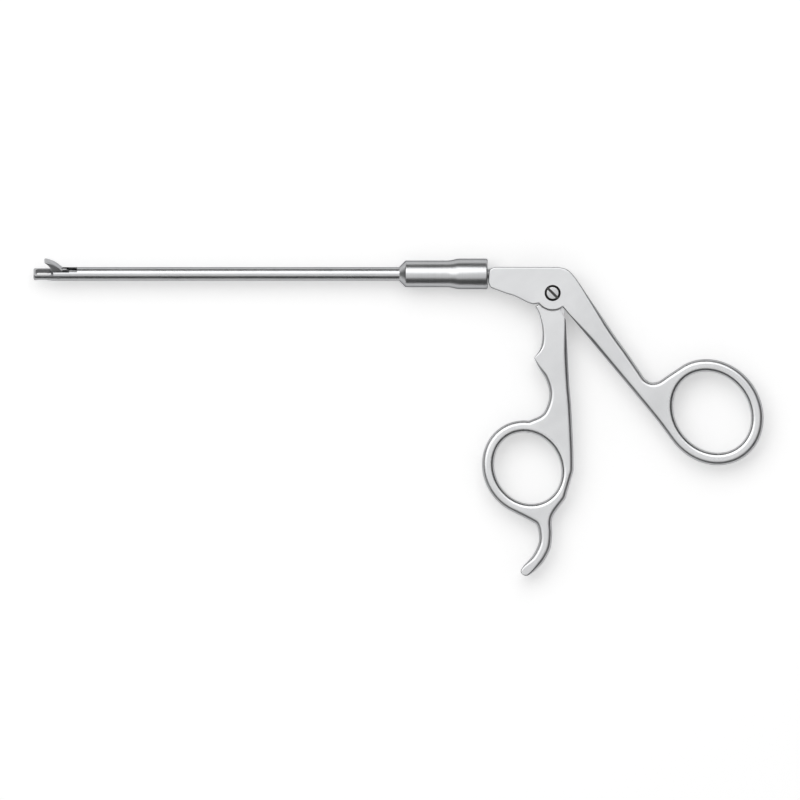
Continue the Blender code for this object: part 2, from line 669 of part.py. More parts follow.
def front_eye(look, rod):
    """The flat tongue that pulls the jaw's link pin, and the barrel that holds the rod."""
    eye = Vector((HINGE_X + LINK_SETBACK, EYE_HEIGHT))
    tall = LINK_PIN_RADIUS + CRANK_LIFT / 2 + PIN_GAP + EYE_WALL
    barrel = HINGE_X + FRONT_BARREL_SETBACK
    step = HINGE_PIN_RADIUS + PIN_GAP + STROKE + EYE_WALL / 2
    points = [
        *circle(eye.x, eye.y, tall, 16, pi / 2, 3 * pi / 2),
        (HINGE_X + step, eye.y - tall),
        (HINGE_X + step + EYE_WEB / 2, -EYE_WEB),
        (barrel + EYE_WEB, -EYE_WEB),
        (barrel + EYE_WEB, EYE_WEB),
        (barrel, EYE_WEB),
        (barrel - EYE_WEB, eye.y + tall),
    ]
    tongue = prism("rod_front_eye", points, -EYE_TONGUE / 2, EYE_TONGUE / 2, look, rod)
    barrel_end = barrel + BARREL_LENGTH
    body = x_bar("front_barrel", FRONT_BARREL_RADIUS, barrel, barrel_end)
    hole_start = barrel_end - ROD_ENTRY - SEAT_GAP
    hole = x_bar("front_barrel_cut", ROD_RADIUS + SEAT_GAP, hole_start, barrel_end + BARREL_LENGTH)
    wide, high = LINK_PIN_RADIUS + PIN_GAP, CRANK_LIFT / 2
    oblong = [(x, y + high) for x, y in circle(0, 0, wide, 12, 0, pi)]
    oblong += [(x, y - high) for x, y in circle(0, 0, wide, 12, pi, 2 * pi)]
    window = at(prism("link_slot_cut", oblong, -EYE_TONGUE, EYE_TONGUE), *eye)
    fused(tongue, body)
    cut(tongue, hole, window)


def rear_yoke(look, rod):
    """The yoke that the lever's drive pin pushes, its lock nut and the rod itself."""
    eye = DRIVE_PIN.x
    barrel_end = eye - YOKE_REACH
    barrel_start = barrel_end - YOKE_BARREL_LENGTH
    web_start = barrel_end - YOKE_WEB
    round_eye = circle(eye, 0, YOKE_EYE_RADIUS, 20, radians(-126), radians(126))
    points = [*round_eye, (web_start, YOKE_WEB), (web_start, -YOKE_WEB)]
    yoke = prism("rod_yoke", points, -YOKE_TONGUE / 2, YOKE_TONGUE / 2, look, rod)
    body = x_bar("yoke_barrel", YOKE_BARREL_RADIUS, barrel_start, barrel_end)
    bore = ROD_RADIUS + SEAT_GAP
    hole_end = barrel_start + ROD_ENTRY + SEAT_GAP
    hole = x_bar("yoke_barrel_cut", bore, barrel_start - YOKE_BARREL_LENGTH, hole_end)
    pin = at(cylinder("yoke_eye_cut", DRIVE_PIN_RADIUS + PIN_GAP, -YOKE_TONGUE, YOKE_TONGUE), x=eye)
    fused(yoke, body)
    cut(yoke, hole, pin)
    nut_end = barrel_start - FACE_GAP
    nut = x_bar("rod_lock_nut", NUT_ACROSS_FLATS / sqrt(3), nut_end - NUT_LENGTH, nut_end, look, rod, 6)
    cut(nut, x_bar("nut_bore_cut", bore, nut_end - NUT_LENGTH * 2, nut_end + NUT_LENGTH))
    rod_start = HINGE_X + FRONT_BARREL_SETBACK + BARREL_LENGTH - ROD_ENTRY
    x_bar("drive_rod", ROD_RADIUS, rod_start, barrel_start + ROD_ENTRY, look, rod, 24)


def finger_lever(look, pivot):
    half, edge, folds = lever_surface()
    holes = [ring_hole(FINGER_RING)]
    lever = forging("finger_lever", lever_outline(), holes, half, edge, folds, look, pivot)
    far = LEVER_THICKNESS
    shoulder = cylinder("shoulder_cut", BOSS_RADIUS + SWING_GAP, -far, far, steps=96)
    cut(lever, shoulder, crotch_cutter())
    (corner, _), flank, (low_left, low), _ = LEVER_LEFT
    right = LEVER_TOP[0][0] - TONGUE_INSET / 2
    tongue_points = [
        (corner + TONGUE_INSET, -LEVER_BOSS_RADIUS / 2),
        flank,
        (low_left + TONGUE_INSET, low),
        (right, low),
        (right, -LEVER_BOSS_RADIUS / 2),
    ]
    tongue = prism("lever_tongue", tongue_points, -TONGUE / 2, TONGUE / 2)
    boss = cylinder("lever_boss", LEVER_BOSS_RADIUS, -TONGUE / 2, TONGUE / 2, steps=48)
    head = at(cylinder("lever_head", LEVER_HEAD_RADIUS, -TONGUE / 2, TONGUE / 2), *DRIVE_PIN)
    wide, half = LEVER_HEAD_RADIUS, TONGUE / 2
    arm = box("lever_arm", (-wide, 0, -half), (wide, DRIVE_PIN.length, half))
    arm.rotation_euler.z = -LEVER_TRAVEL / 2
    fused(lever, boss, tongue, arm, head)
    bore = cylinder("lever_bore_cut", SCREW_RADIUS + PIN_GAP, -far, far)
    pin = at(cylinder("drive_pin_bore_cut", DRIVE_PIN_RADIUS + SEAT_GAP / 2, -far, far), *DRIVE_PIN)
    gap = YOKE_TONGUE / 2 + PIN_GAP
    low = AXIS_Y - YOKE_EYE_RADIUS - RUN_GAP
    fork = box("lever_fork_cut", (-far, low, -gap), (far, AXIS_Y * 2, gap))
    cut(lever, bore, pin, fork)
    at(cylinder("lever_drive_pin", DRIVE_PIN_RADIUS, -TONGUE / 2, TONGUE / 2, look, pivot, 24), *DRIVE_PIN)


def crotch_cutter():
    """What the closed lever must leave free: the thumb shank's underside, seen from the closed lever."""
    boss_end = circle(0, 0, BOSS_RADIUS, 12, BOSS_START, BOSS_END)[-1]
    upper, lower = (Vector(rotated(p, -LEVER_TRAVEL)) for p in (boss_end, SHANK_UNDER[0]))
    along = (lower - upper).normalized()
    aside = Vector((along.y, -along.x)) * SWING_GAP
    reach = BODY_THICKNESS
    start, end = upper + aside - along * reach, lower + aside
    points = [tuple(start), tuple(end), (end.x + reach, end.y), (start.x + reach * 2, start.y)]
    return prism("crotch_cut", points, -reach, reach)


def set_down(whole):
    """Moves everything so that it lies on the ground with the middle of its plan at the origin."""
    bpy.context.view_layer.update()
    graph = bpy.context.evaluated_depsgraph_get()
    corners = []
    for obj in bpy.context.scene.objects:
        if obj.type == "MESH" and not obj.hide_render:
            made = obj.evaluated_get(graph)
            corners += [made.matrix_world @ vert.co for vert in made.to_mesh().vertices]
            made.to_mesh_clear()
    low = [min(c[i] for c in corners) for i in range(3)]
    high = [max(c[i] for c in corners) for i in range(3)]
    whole.location = (-(low[0] + high[0]) / 2, -(low[1] + high[1]) / 2, -low[2])


def build():
    scene_cleared()
    satin = material("satin_steel", (0.62, 0.63, 0.64), 0.34)
    bright = material("bright_steel", (0.70, 0.71, 0.72), 0.22)
    hard = material("hardened_steel", (0.42, 0.43, 0.45), 0.38)
    brass = material("bearing_bronze", (0.66, 0.47, 0.26), 0.35)
    whole = empty("punch", (0, 0, 0))
    shaft = empty("shaft_axis", (0, AXIS_Y, 0), whole, ROLL)
    rod = empty("rod_axis", (0, 0, 0), shaft)
    hinge = empty("jaw_axis", (HINGE_X, 0, 0), shaft, -JAW_TRAVEL, "Z")
    rear_rod = empty("yoke_axis", (0, AXIS_Y, 0), whole)
    lever = empty("lever_axis", (0, 0, 0), whole)
    thumb_handle(satin, whole)
    pivot_screw(bright, whole)
    hub_and_inside(bright, brass, shaft)
    shaft_tube(bright, shaft)
    basket_tip(bright, shaft)
    upper_jaw(hard, hinge)
    jaw_pins(hard, shaft, hinge)
    front_eye(hard, rod)
    rear_yoke(bright, rear_rod)
    finger_lever(satin, lever)
    set_down(whole)


build()
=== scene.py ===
# %% [markdown]
# # Arthroscopic punch
# A slim surgical punch with ring handles. Squeezing the rings pushes a rod through the long tube,
# and the rod closes a small hooked jaw into an open basket at the tip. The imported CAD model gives
# every piece its place and its motion. This notebook gives the pieces their fine surfaces,
# the steel its finish, and the picture its light.

import json
from math import asin, ceil, cos, dist, hypot, pi, radians, sin, tan

import bpy
from mathutils import Matrix, Vector


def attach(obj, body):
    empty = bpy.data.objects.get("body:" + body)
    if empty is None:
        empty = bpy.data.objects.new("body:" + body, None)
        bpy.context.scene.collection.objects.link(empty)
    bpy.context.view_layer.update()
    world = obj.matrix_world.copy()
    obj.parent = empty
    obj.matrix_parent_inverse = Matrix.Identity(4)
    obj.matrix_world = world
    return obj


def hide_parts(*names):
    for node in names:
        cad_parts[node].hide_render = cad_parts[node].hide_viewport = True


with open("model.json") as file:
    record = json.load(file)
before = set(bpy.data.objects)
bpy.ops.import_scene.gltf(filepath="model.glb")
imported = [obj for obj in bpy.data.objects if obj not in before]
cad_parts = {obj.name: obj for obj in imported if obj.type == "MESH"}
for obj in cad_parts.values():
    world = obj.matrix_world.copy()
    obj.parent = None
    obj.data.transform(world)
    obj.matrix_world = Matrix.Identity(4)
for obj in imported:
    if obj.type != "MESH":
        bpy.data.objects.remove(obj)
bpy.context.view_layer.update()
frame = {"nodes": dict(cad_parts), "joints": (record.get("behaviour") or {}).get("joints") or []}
print("nodes:", sorted(frame["nodes"]))

# %% [markdown]
# ## Where things are
# The CAD places everything from the handle pivot, so this notebook does the same. That place could
# be typed in again, but a value that is read from the joint can't drift away from the model. The
# jaw's joint gives the turned plane of the tip: its axis leans 40 degrees out of the handles' plane.

# %% Places read from the joints
joints = {joint["name"]: joint for joint in frame["joints"]}
pivot = Vector(joints["handle_pivot"]["pos_m"])
jaw_pivot = Vector(joints["jaw_hinge"]["pos_m"])
jaw_axis = Vector(joints["jaw_hinge"]["axis"])
roll = asin(-jaw_axis.y)
jaw_travel = radians(joints["jaw_hinge"]["range_deg"][1])
shaft_y = jaw_pivot.y - pivot.y
hinge_x = jaw_pivot.x - pivot.x
on_handles = Matrix.Translation(pivot)
on_shaft = Matrix.Translation((pivot.x, jaw_pivot.y, pivot.z)) @ Matrix.Rotation(roll, 4, "X")
on_jaw = on_shaft @ Matrix.Translation((hinge_x, 0, 0)) @ Matrix.Rotation(-jaw_travel, 4, "Z")
print("pivot", tuple(round(v * 1000, 2) for v in pivot), "mm, roll", round(roll * 180 / pi, 1), "degrees")

# %% [markdown]
# ## Working habits
# After an import everything is selected, and an operator acts on all that is selected. So each
# step starts from nothing selected, and edges are then picked by their numbers. These helpers do
# the repeated handwork: start clean, pick edges, apply a modifier, cut with another piece, and
# write a piece's place into its mesh.

# %% Helpers for selecting and finishing
def start_clean():
    bpy.ops.object.select_all(action="DESELECT")


def only(piece):
    """Makes one piece the selected and active one."""
    start_clean()
    piece.select_set(True)
    bpy.context.view_layer.objects.active = piece
    return piece


def edit(piece, *steps, everything=True):
    """Runs edit-mode steps on all of a piece, or on what is already picked."""
    only(piece)
    bpy.ops.object.mode_set(mode="EDIT")
    if everything:
        bpy.ops.mesh.select_all(action="SELECT")
    for step in steps:
        step()
    bpy.ops.object.mode_set(mode="OBJECT")
    return piece


def pick(piece, edges):
    """Selects the edges whose numbers are given, and nothing else."""
    mesh = piece.data
    for parts in (mesh.vertices, mesh.edges, mesh.polygons):
        parts.foreach_set("select", [False] * len(parts))
    bpy.context.tool_settings.mesh_select_mode = (False, True, False)
    for number in edges:
        mesh.edges[number].select = True


def apply(piece, kind, **settings):
    """Adds a modifier with these settings and applies it."""
    only(piece)
    modifier = piece.modifiers.new(kind.title(), kind)
    for name, value in settings.items():
        setattr(modifier, name, value)
    bpy.ops.object.modifier_apply(modifier=modifier.name)
    return piece


def carve(piece, *cutters, operation="DIFFERENCE"):
    """Cuts a piece with others, which are used up."""
    for cutter in cutters:
        apply(piece, "BOOLEAN", object=cutter, operation=operation, solver="EXACT")
        bpy.data.objects.remove(cutter, do_unlink=True)
    return piece


def settle(piece):
    """Writes the piece's place and turn into its mesh."""
    only(piece)
    bpy.ops.object.transform_apply(location=True, rotation=True, scale=True)
    return piece


def face_outwards(piece, merge=1e-6):
    """Merges doubles and turns every face outwards."""
    return edit(
        piece,
        lambda: bpy.ops.mesh.remove_doubles(threshold=merge),
        lambda: bpy.ops.mesh.normals_make_consistent(inside=False),
    )


print("helpers ready")

# %% [markdown]
# Every finished piece goes through the same last steps. A matrix puts it in its place, which is
# written into its mesh, its faces are turned outwards, and it is shaded smooth except across sharp
# corners. Then it is told which body it rides on, and the CAD solids it stands for are hidden.

# %% Handing a piece over
def hand_over(piece, place, body, nodes, sharp=30):
    piece.matrix_world = place
    settle(piece)
    face_outwards(piece)
    only(piece)
    bpy.ops.object.shade_smooth_by_angle(angle=radians(sharp))
    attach(piece, body)
    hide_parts(*nodes)
    size = [round(v * 1000, 2) for v in piece.dimensions]
    print(piece.name, len(piece.data.polygons), "faces,", size, "mm")
    return piece


# %% [markdown]
# ## Turned pieces
# The hub, the tube and the screw come off a lathe, so each is a profile carried round an axis. A
# spin or a Screw modifier would do it. Here a small disc is extruded from one diameter to the
# next, because each step then stays an even band of faces and the piece is closed from the start.
# A bore is a second turned piece that is cut out of the first, as a drill would do it.

# %% A lathe
def turn_on_lathe(name, profile, steps=96):
    """A closed solid of (place along X, radius) turned round the X axis."""
    start_clean()
    (x, radius), *rest = profile
    bpy.ops.mesh.primitive_circle_add(
        vertices=steps, radius=radius, fill_type="NGON", location=(x, 0, 0), rotation=(0, pi / 2, 0)
    )
    piece = settle(bpy.context.active_object)
    piece.name = name
    bpy.context.tool_settings.mesh_select_mode = (False, False, True)
    bpy.ops.object.mode_set(mode="EDIT")
    bpy.ops.mesh.select_all(action="SELECT")
    for next_x, next_radius in rest:
        bpy.ops.mesh.extrude_region_move(TRANSFORM_OT_translate={"value": (next_x - x, 0, 0)})
        grow = next_radius / radius
        bpy.ops.transform.resize(value=(1, grow, grow), center_override=(next_x, 0, 0))
        x, radius = next_x, next_radius
    bpy.ops.object.mode_set(mode="OBJECT")
    return piece


def rounded(x, radius, size, start, end, steps=6):
    """Points of a rounding whose middle is at x, radius, from one angle to another in degrees."""
    angles = [radians(start + (end - start) * i / steps) for i in range(steps + 1)]
    return [(x + size * cos(a), radius + size * sin(a)) for a in angles]


print("lathe ready")

# %% [markdown]
# ## Outlines
# The two handles are forgings, and their shape is their outline: arcs of ellipses round the rings,
# and smooth curves through a few chosen points between them. A Bezier curve could hold it too.
# Points worked out by a function were chosen because the rounding along the edge needs to know
# where each point is.

# %% Curves for the outlines
same_point = 1e-5


def arc(x, y, radius, start, end, steps):
    angles = [start + (end - start) * i / steps for i in range(steps + 1)]
    return [(x + radius * cos(a), y + radius * sin(a)) for a in angles]


def ring_arc(ring, band, start, end, steps):
    """Points along the ellipse that lies band outside a ring's hole."""
    along = Vector((cos(ring["turn"]), sin(ring["turn"])))
    across = Vector((-along.y, along.x))
    points = []
    for i in range(steps + 1):
        angle = start + (end - start) * i / steps
        offset = along * (ring["long"] + band) * cos(angle) + across * (ring["short"] + band) * sin(angle)
        points.append(tuple(Vector(ring["centre"]) + offset))
    return points


def smooth(points, step):
    """A curve through the points, cut into pieces about one step long."""
    path = [Vector(p) for p in points]
    ends = [2 * path[0] - path[1], *path, 2 * path[-1] - path[-2]]
    made = []
    for before, here, there, after in zip(ends, ends[1:], ends[2:], ends[3:]):
        pieces = max(1, ceil((there - here).length / step))
        for i in range(pieces):
            t = i / pieces
            straight = 2 * here + (there - before) * t
            bend = (2 * before - 5 * here + 4 * there - after) * t**2
            twist = (3 * here - before - 3 * there + after) * t**3
            made.append(tuple((straight + bend + twist) / 2))
    return made + [tuple(path[-1])]


def outline(*runs):
    """One closed outline from several runs, with the points that two runs share kept once."""
    points = []
    for run in runs:
        for point in run:
            if not points or dist(point, points[-1]) > same_point:
                points.append(point)
    if dist(points[0], points[-1]) < same_point:
        points.pop()
    return points


print("a smooth curve of 3 points:", len(smooth([(0, 0), (0.01, 0.002), (0.02, 0)], 0.0008)), "points")

# %% [markdown]
# ## Plates
# A plate is an outline drawn straight out: a filled ring of points, extruded once. The jaw and the
# milling cuts start as one. A cut may widen on its way, so the far side can be scaled.

# %% A plate from an outline
def plate(name, points, low, high, widen=1.0):
    start_clean()
    bpy.ops.mesh.primitive_circle_add(vertices=len(points), radius=0.01, fill_type="NGON")
    piece = bpy.context.active_object
    piece.name = name
    for vertex, (x, y) in zip(piece.data.vertices, points):
        vertex.co = (x, y, low)
    bpy.context.tool_settings.mesh_select_mode = (False, False, True)
    edit(
        piece,
        lambda: bpy.ops.mesh.extrude_region_move(TRANSFORM_OT_translate={"value": (0, 0, high - low)}),
        lambda: bpy.ops.transform.resize(value=(1, widen, 1), center_override=(0, 0, high)),
    )
    return face_outwards(piece)


def bar(name, radius, low, high, x=0.0, y=0.0, steps=64):
    """A round bar along Z, for bores and seats."""
    return plate(name, arc(x, y, radius, 0, 2 * pi, steps)[:-1], low, high)


def block(name, low, high):
    """A square-edged block between two corners."""
    corners = [(low[0], low[1]), (high[0], low[1]), (high[0], high[1]), (low[0], high[1])]
    return plate(name, corners, low[2], high[2])


print("plates ready")

# %% [markdown]
# ## Forgings with a growing edge
# A drop-forged handle is flat round its pivot and gets rounder towards the rings, where it meets
# the fingers. A Bevel modifier gives one width everywhere, and its weights would need painting.
# Here the outline's ring of points is extruded upwards through the levels of a quarter circle, and
# at each level every point is moved inwards by the rounding that belongs to its own place.

# %% Inset of an outline and the extruded edge
edge_angles = [radians(a) for a in (90, 75, 60, 45, 30, 15, 0)]
flat_border = 0.00012


def inset(points, distance):
    """The outline moved towards the side on its left by the distance at each point."""
    count = len(points)
    moved = []
    for i, point in enumerate(points):
        before = (Vector(point) - Vector(points[i - 1])).normalized()
        after = (Vector(points[(i + 1) % count]) - Vector(point)).normalized()
        direction = (before + after).normalized()
        normal = Vector((-direction.y, direction.x))
        bend = max(0.5, direction.dot(after))
        moved.append(tuple(Vector(point) + normal * distance(*point) / bend))
    return moved


def edge_levels(loop, half, edge):
    """Rings of points from the lower flat side round the edge to the upper one."""
    rings = []
    for side, angles in ((-1, edge_angles), (1, edge_angles[::-1])):
        for angle in angles:
            plan = inset(loop, lambda x, y, a=angle: edge(x, y) * (1 - cos(a)))
            depth = [half(x, y) - edge(x, y) * (1 - sin(angle)) for x, y in loop]
            rings.append([(px, py, side * z) for (px, py), z in zip(plan, depth)])
    border = inset(loop, lambda x, y: edge(x, y) + flat_border)
    low = [(x, y, -half(x, y)) for x, y in border]
    high = [(x, y, half(x, y)) for x, y in border]
    for ring, side in ((rings[0], -1), (rings[-1], 1)):
        for i, (x, y, z) in enumerate(ring):
            ring[i] = (x, y, side * half(x, y))
    return [low, *rings, high]


def draw_edge(loop, half, edge):
    """One closed band of faces along an outline, extruded level by level."""
    start_clean()
    first, *levels = edge_levels(loop, half, edge)
    count = len(loop)
    bpy.ops.mesh.primitive_circle_add(vertices=count, radius=0.01, fill_type="NOTHING")
    band = bpy.context.active_object
    bpy.context.tool_settings.mesh_select_mode = (False, True, False)
    edit(band)
    turns = list(range(count))
    fresh = list(band.data.vertices)
    seats = {}
    for level in [first, *levels]:
        if level is not first:
            lift = {"value": (0, 0, 0.001)}
            edit(band, lambda: bpy.ops.mesh.extrude_edges_move(TRANSFORM_OT_translate=lift), everything=False)
            fresh = list(band.data.vertices)[-count:]
            turns = [seats[tuple(vertex.co.xy)] for vertex in fresh]
        seats = {}
        for vertex, turn in zip(fresh, turns):
            vertex.co = level[turn]
            seats[tuple(vertex.co.xy)] = turn
    return band


print("edge levels:", 2 * len(edge_angles) + 2)

# %% [markdown]
# The bands of the outline and of the ring's hole are joined, and both flat sides are filled. The
# handle is thinner at its ring than at its pivot, so a plane cuts each flat side where the taper
# starts, and the new points are set to the thickness there.

# %% Closing a forging
def open_rim(piece, side):
    """The numbers of the edges with one face only, on the upper or the lower side."""
    mesh = piece.data
    uses = {}
    for face in mesh.polygons:
        for key in face.edge_keys:
            uses[key] = uses.get(key, 0) + 1
    rim = []
    for number, line in enumerate(mesh.edges):
        if uses.get(tuple(sorted(line.vertices))) == 1 and mesh.vertices[line.vertices[0]].co.z * side > 0:
            rim.append(number)
    return rim


def forge(name, loops, half, edge, fold):
    bands = [draw_edge(loop, half, edge) for loop in loops]
    piece = bands[0]
    start_clean()
    for band in bands:
        band.select_set(True)
    bpy.context.view_layer.objects.active = piece
    bpy.ops.object.join()
    piece.name = name
    point, direction = fold
    for side in (-1, 1):
        pick(piece, open_rim(piece, side))
        edit(piece, lambda: bpy.ops.mesh.fill(use_beauty=True), everything=False)
        before = len(piece.data.vertices)
        cut = {"plane_co": (*point, 0), "plane_no": (*direction, 0)}
        edit(piece, lambda: bpy.ops.mesh.bisect(**cut), everything=False)
        for vertex in list(piece.data.vertices)[before:]:
            vertex.co.z = side * half(vertex.co.x, vertex.co.y)
    return face_outwards(piece)


def taper(ring, start, near, far):
    """Half the thickness: near as far as start on the line to the ring, then thinner to far."""
    centre = Vector(ring["centre"])
    along = centre.normalized()
    end = centre.length + ring["long"]

    def half(x, y):
        share = (along.dot(Vector((x, y))) - start) / (end - start)
        return (near + (far - near) * max(0.0, share)) / 2

    return half, (along * start, along)


print("forging ready")

# %% [markdown]
# ## The handle body
# One forging holds the forked cheeks round the pivot, the long shank and the thumb ring. Its
# outline starts at the round boss and runs under the shank, round the ring and back over the top
# to the nose that meets the hub. The edges are crisp at the cheeks and well rounded at the ring.

# %% Thumb handle: sizes
curve_step = 0.0008
body_thickness = 0.0070
grip_thickness = 0.0048
boss_radius = 0.00605
crisp_edge = 0.0005
grip_edge = 0.00165
grip_start = 0.010
grip_blend = 0.012
hub_rear_x = -0.02275
face_gap = 0.0003
seat_gap = 0.0001
thumb_ring = {"centre": (0.0558, -0.0417), "long": 0.0150, "short": 0.0128, "turn": radians(-52.4)}
thumb_band = 0.00436
shank_under = [(0.01085, -0.0136), (0.01925, -0.0237), (0.028, -0.0342), (0.0364, -0.0444)]
ring_shoulder = [(0.0406, -0.0286), (0.0372, -0.0309), (0.0344, -0.0313)]
shank_over = [(0.0323, -0.0301), (0.02642, -0.02146), (0.02188, -0.01516), (0.01767, -0.00886)]
shank_top = (0.01242, -0.00116)
shoulder_line = [(0.00962, -0.00366), (0.0073, -0.0005), (0.005, 0.0016), (0.002, 0.0024)]
nose_line = [(0.0022, 0.0024), (0.0006, 0.0017), (0.0, 0.0), (0.0, -0.0032), (0.0008, -0.0049)]
keel = [(-0.0166, -0.0001), (-0.01312, -0.0012), (-0.00892, -0.0033), (-0.0068, -0.004)]


def ring_hole(ring):
    return ring_arc(ring, 0, 0, 2 * pi, 120)[:0:-1]


def thumb_outline():
    boss = arc(0, 0, boss_radius, radians(217), radians(306), 30)
    ring = ring_arc(thumb_ring, thumb_band, radians(-92), radians(172), 130)
    under = smooth([boss[-1], *shank_under, ring[0]], curve_step)
    valley = smooth([ring[-1], *ring_shoulder, shank_over[0]], curve_step)
    over = smooth([*shank_over, shank_top], curve_step)
    shoulder = smooth([shank_top, *((x, shaft_y + y) for x, y in shoulder_line)], curve_step)
    front = hub_rear_x + face_gap
    nose = smooth([(front + x, shaft_y + y) for x, y in nose_line], curve_step / 2)
    belly = smooth([nose[-1], *keel], curve_step)
    return outline(boss, under, ring, valley, over, shoulder, nose, belly)


def body_edge(x, y):
    """The rounding grows from the pivot towards the ring, and stays crisp at the nose."""
    share = min(1.0, max(0.0, (hypot(x, y) - grip_start) / grip_blend)) if x > 0 else 0.0
    return crisp_edge + (grip_edge - crisp_edge) * share


print("thumb outline:", len(thumb_outline()), "points")

# %% Thumb handle: forging and milling
body_half, body_fold = taper(thumb_ring, grip_start, body_thickness, grip_thickness)
thumb_loops = [thumb_outline(), ring_hole(thumb_ring)]
thumb_handle = forge("forged_thumb_handle", thumb_loops, body_half, body_edge, body_fold)
slot_width = 0.0034
slot_front_x, slot_rear_x = -0.0126, 0.006
stem_radius = 0.0017
screw_radius = 0.0015
screw_head_radius = 0.00265
screw_head_height = 0.0011
screw_proud = 0.00025
tall = boss_radius + shaft_y
slot_cut = block("slot", (slot_front_x, -tall, -slot_width / 2), (slot_rear_x, tall, slot_width / 2))
stem_bore = stem_radius + seat_gap
drill_overrun = 0.0005
stem_line = [(hub_rear_x - body_thickness, stem_bore), (slot_front_x + drill_overrun, stem_bore)]
stem_cut = turn_on_lathe("stem_bore", stem_line)
stem_cut.location.y = shaft_y
pivot_cut = bar("pivot_bore", screw_radius + seat_gap, -body_thickness, body_thickness)
cheek = body_thickness / 2
seat_low = cheek + screw_proud - screw_head_height - face_gap
seat_radius = screw_head_radius + seat_gap
seat_chamfer = 0.00008
seat_rim = seat_radius + seat_chamfer
seat_line = [(seat_low, seat_radius), (cheek - seat_chamfer, seat_radius)]
seat_line += [(cheek, seat_rim), (cheek + screw_head_height, seat_rim)]
seat_cut = turn_on_lathe("screw_seat", seat_line)
seat_cut.rotation_euler.y = -pi / 2
carve(thumb_handle, slot_cut, stem_cut, pivot_cut, seat_cut)
hand_over(thumb_handle, on_handles, "fixed_handle", ["thumb_handle"])

# %% [markdown]
# ## The finger lever
# The lever is a second forging: a grip with a spur for the finger, a ring, and a hooked end. Its
# upper end turns between the cheeks, so there it is a thin round boss with a short forked arm that
# pushes the rod. A wide rounding would eat the points away, so the edges stay thin at the spur and
# at the hook's end.

# %% Finger lever: sizes
lever_thickness = 0.0060
lever_boss_radius = 0.0052
lever_head_radius = 0.0020
drive_pin_radius = 0.0007
run_gap = 0.0002
pin_gap = 0.0001
swing_gap = 0.00035
tongue = slot_width - 2 * run_gap
lever_travel = radians(joints["handle_pivot"]["range_deg"][1])
drive_pin = Vector((shaft_y * sin(lever_travel / 2), shaft_y * cos(lever_travel / 2)))
finger_ring = {"centre": (-0.0087, -0.0613), "long": 0.0129, "short": 0.0114, "turn": radians(-58.8)}
finger_band = 0.0042
lever_left = [(-0.0061, -0.0047), (-0.0047, -0.0073), (-0.00375, -0.0115), (-0.0036, -0.0156)]
spur_hollow = (-0.0044, -0.0196)
spur = (-0.0065, -0.0227)
waist = [(-0.0048, -0.0262), (-0.0024, -0.0303), (-0.0012, -0.0345), (-0.0016, -0.0384), (-0.0036, -0.0424)]
hook_back = [(-0.0075, -0.0799), (-0.0054, -0.0817), (-0.0048, -0.0868), (-0.0068, -0.0916)]
hook_shoulder = (-0.0102, -0.0955)
hook_end = (-0.0106, -0.0985)
hook_turn = [(-0.0112, -0.0972), hook_end, (-0.0088, -0.09898), (-0.0064, -0.0974)]
hook_front = [(-0.0032, -0.0940), (-0.0008, -0.0893), (-0.0002, -0.0845), (0.0, -0.0784)]
lever_right = [(0.0072, -0.0550), (0.0065, -0.0404), (0.0058, -0.0320), (0.0051, -0.0194)]
lever_top = [(0.0044, -0.0068), (0.0042, -0.0036), (-0.0048, -0.00395)]
point_edge = 0.0002
edge_growth = 0.20


def lever_outline():
    ring_left = ring_arc(finger_ring, finger_band, radians(145), radians(306), 80)
    ring_right = ring_arc(finger_ring, finger_band, radians(22), radians(58), 18)
    scallop = smooth([*lever_left, spur_hollow, spur], curve_step)
    hollow = smooth([spur, *waist, ring_left[0]], curve_step)
    back = smooth([ring_left[-1], *hook_back, hook_shoulder], curve_step)
    turn = smooth([back[-1], *hook_turn], curve_step / 2)
    front = smooth([turn[-1], *hook_front, ring_right[0]], curve_step)
    right = smooth([ring_right[-1], *lever_right, lever_top[0]], curve_step)
    return outline(scallop, hollow, ring_left, back, turn, front, right, lever_top)


def lever_edge(x, y):
    share = min(1.0, max(0.0, (hypot(x, y) - grip_start) / grip_blend))
    base = crisp_edge + (grip_edge - crisp_edge) * share
    nearest = min(dist((x, y), point) for point in (spur, hook_end))
    return min(base, point_edge + nearest * edge_growth)


print("lever outline:", len(lever_outline()), "points")

# %% Finger lever: forging, arm and bores
def turned_point(point, angle):
    x, y = point
    return Vector((x * cos(angle) - y * sin(angle), x * sin(angle) + y * cos(angle)))


def crotch_block():
    """What the closed lever leaves free: the thumb shank's underside, seen from the closed lever."""
    boss_end = arc(0, 0, boss_radius, radians(217), radians(306), 30)[-1]
    upper, lower = (turned_point(p, -lever_travel) for p in (boss_end, shank_under[0]))
    along = (lower - upper).normalized()
    aside = Vector((along.y, -along.x)) * swing_gap
    reach = body_thickness
    start, end = upper + aside - along * reach, lower + aside
    corners = [tuple(start), tuple(end), (end.x + reach, end.y), (start.x + reach * 2, start.y)]
    return plate("crotch", corners, -reach, reach)


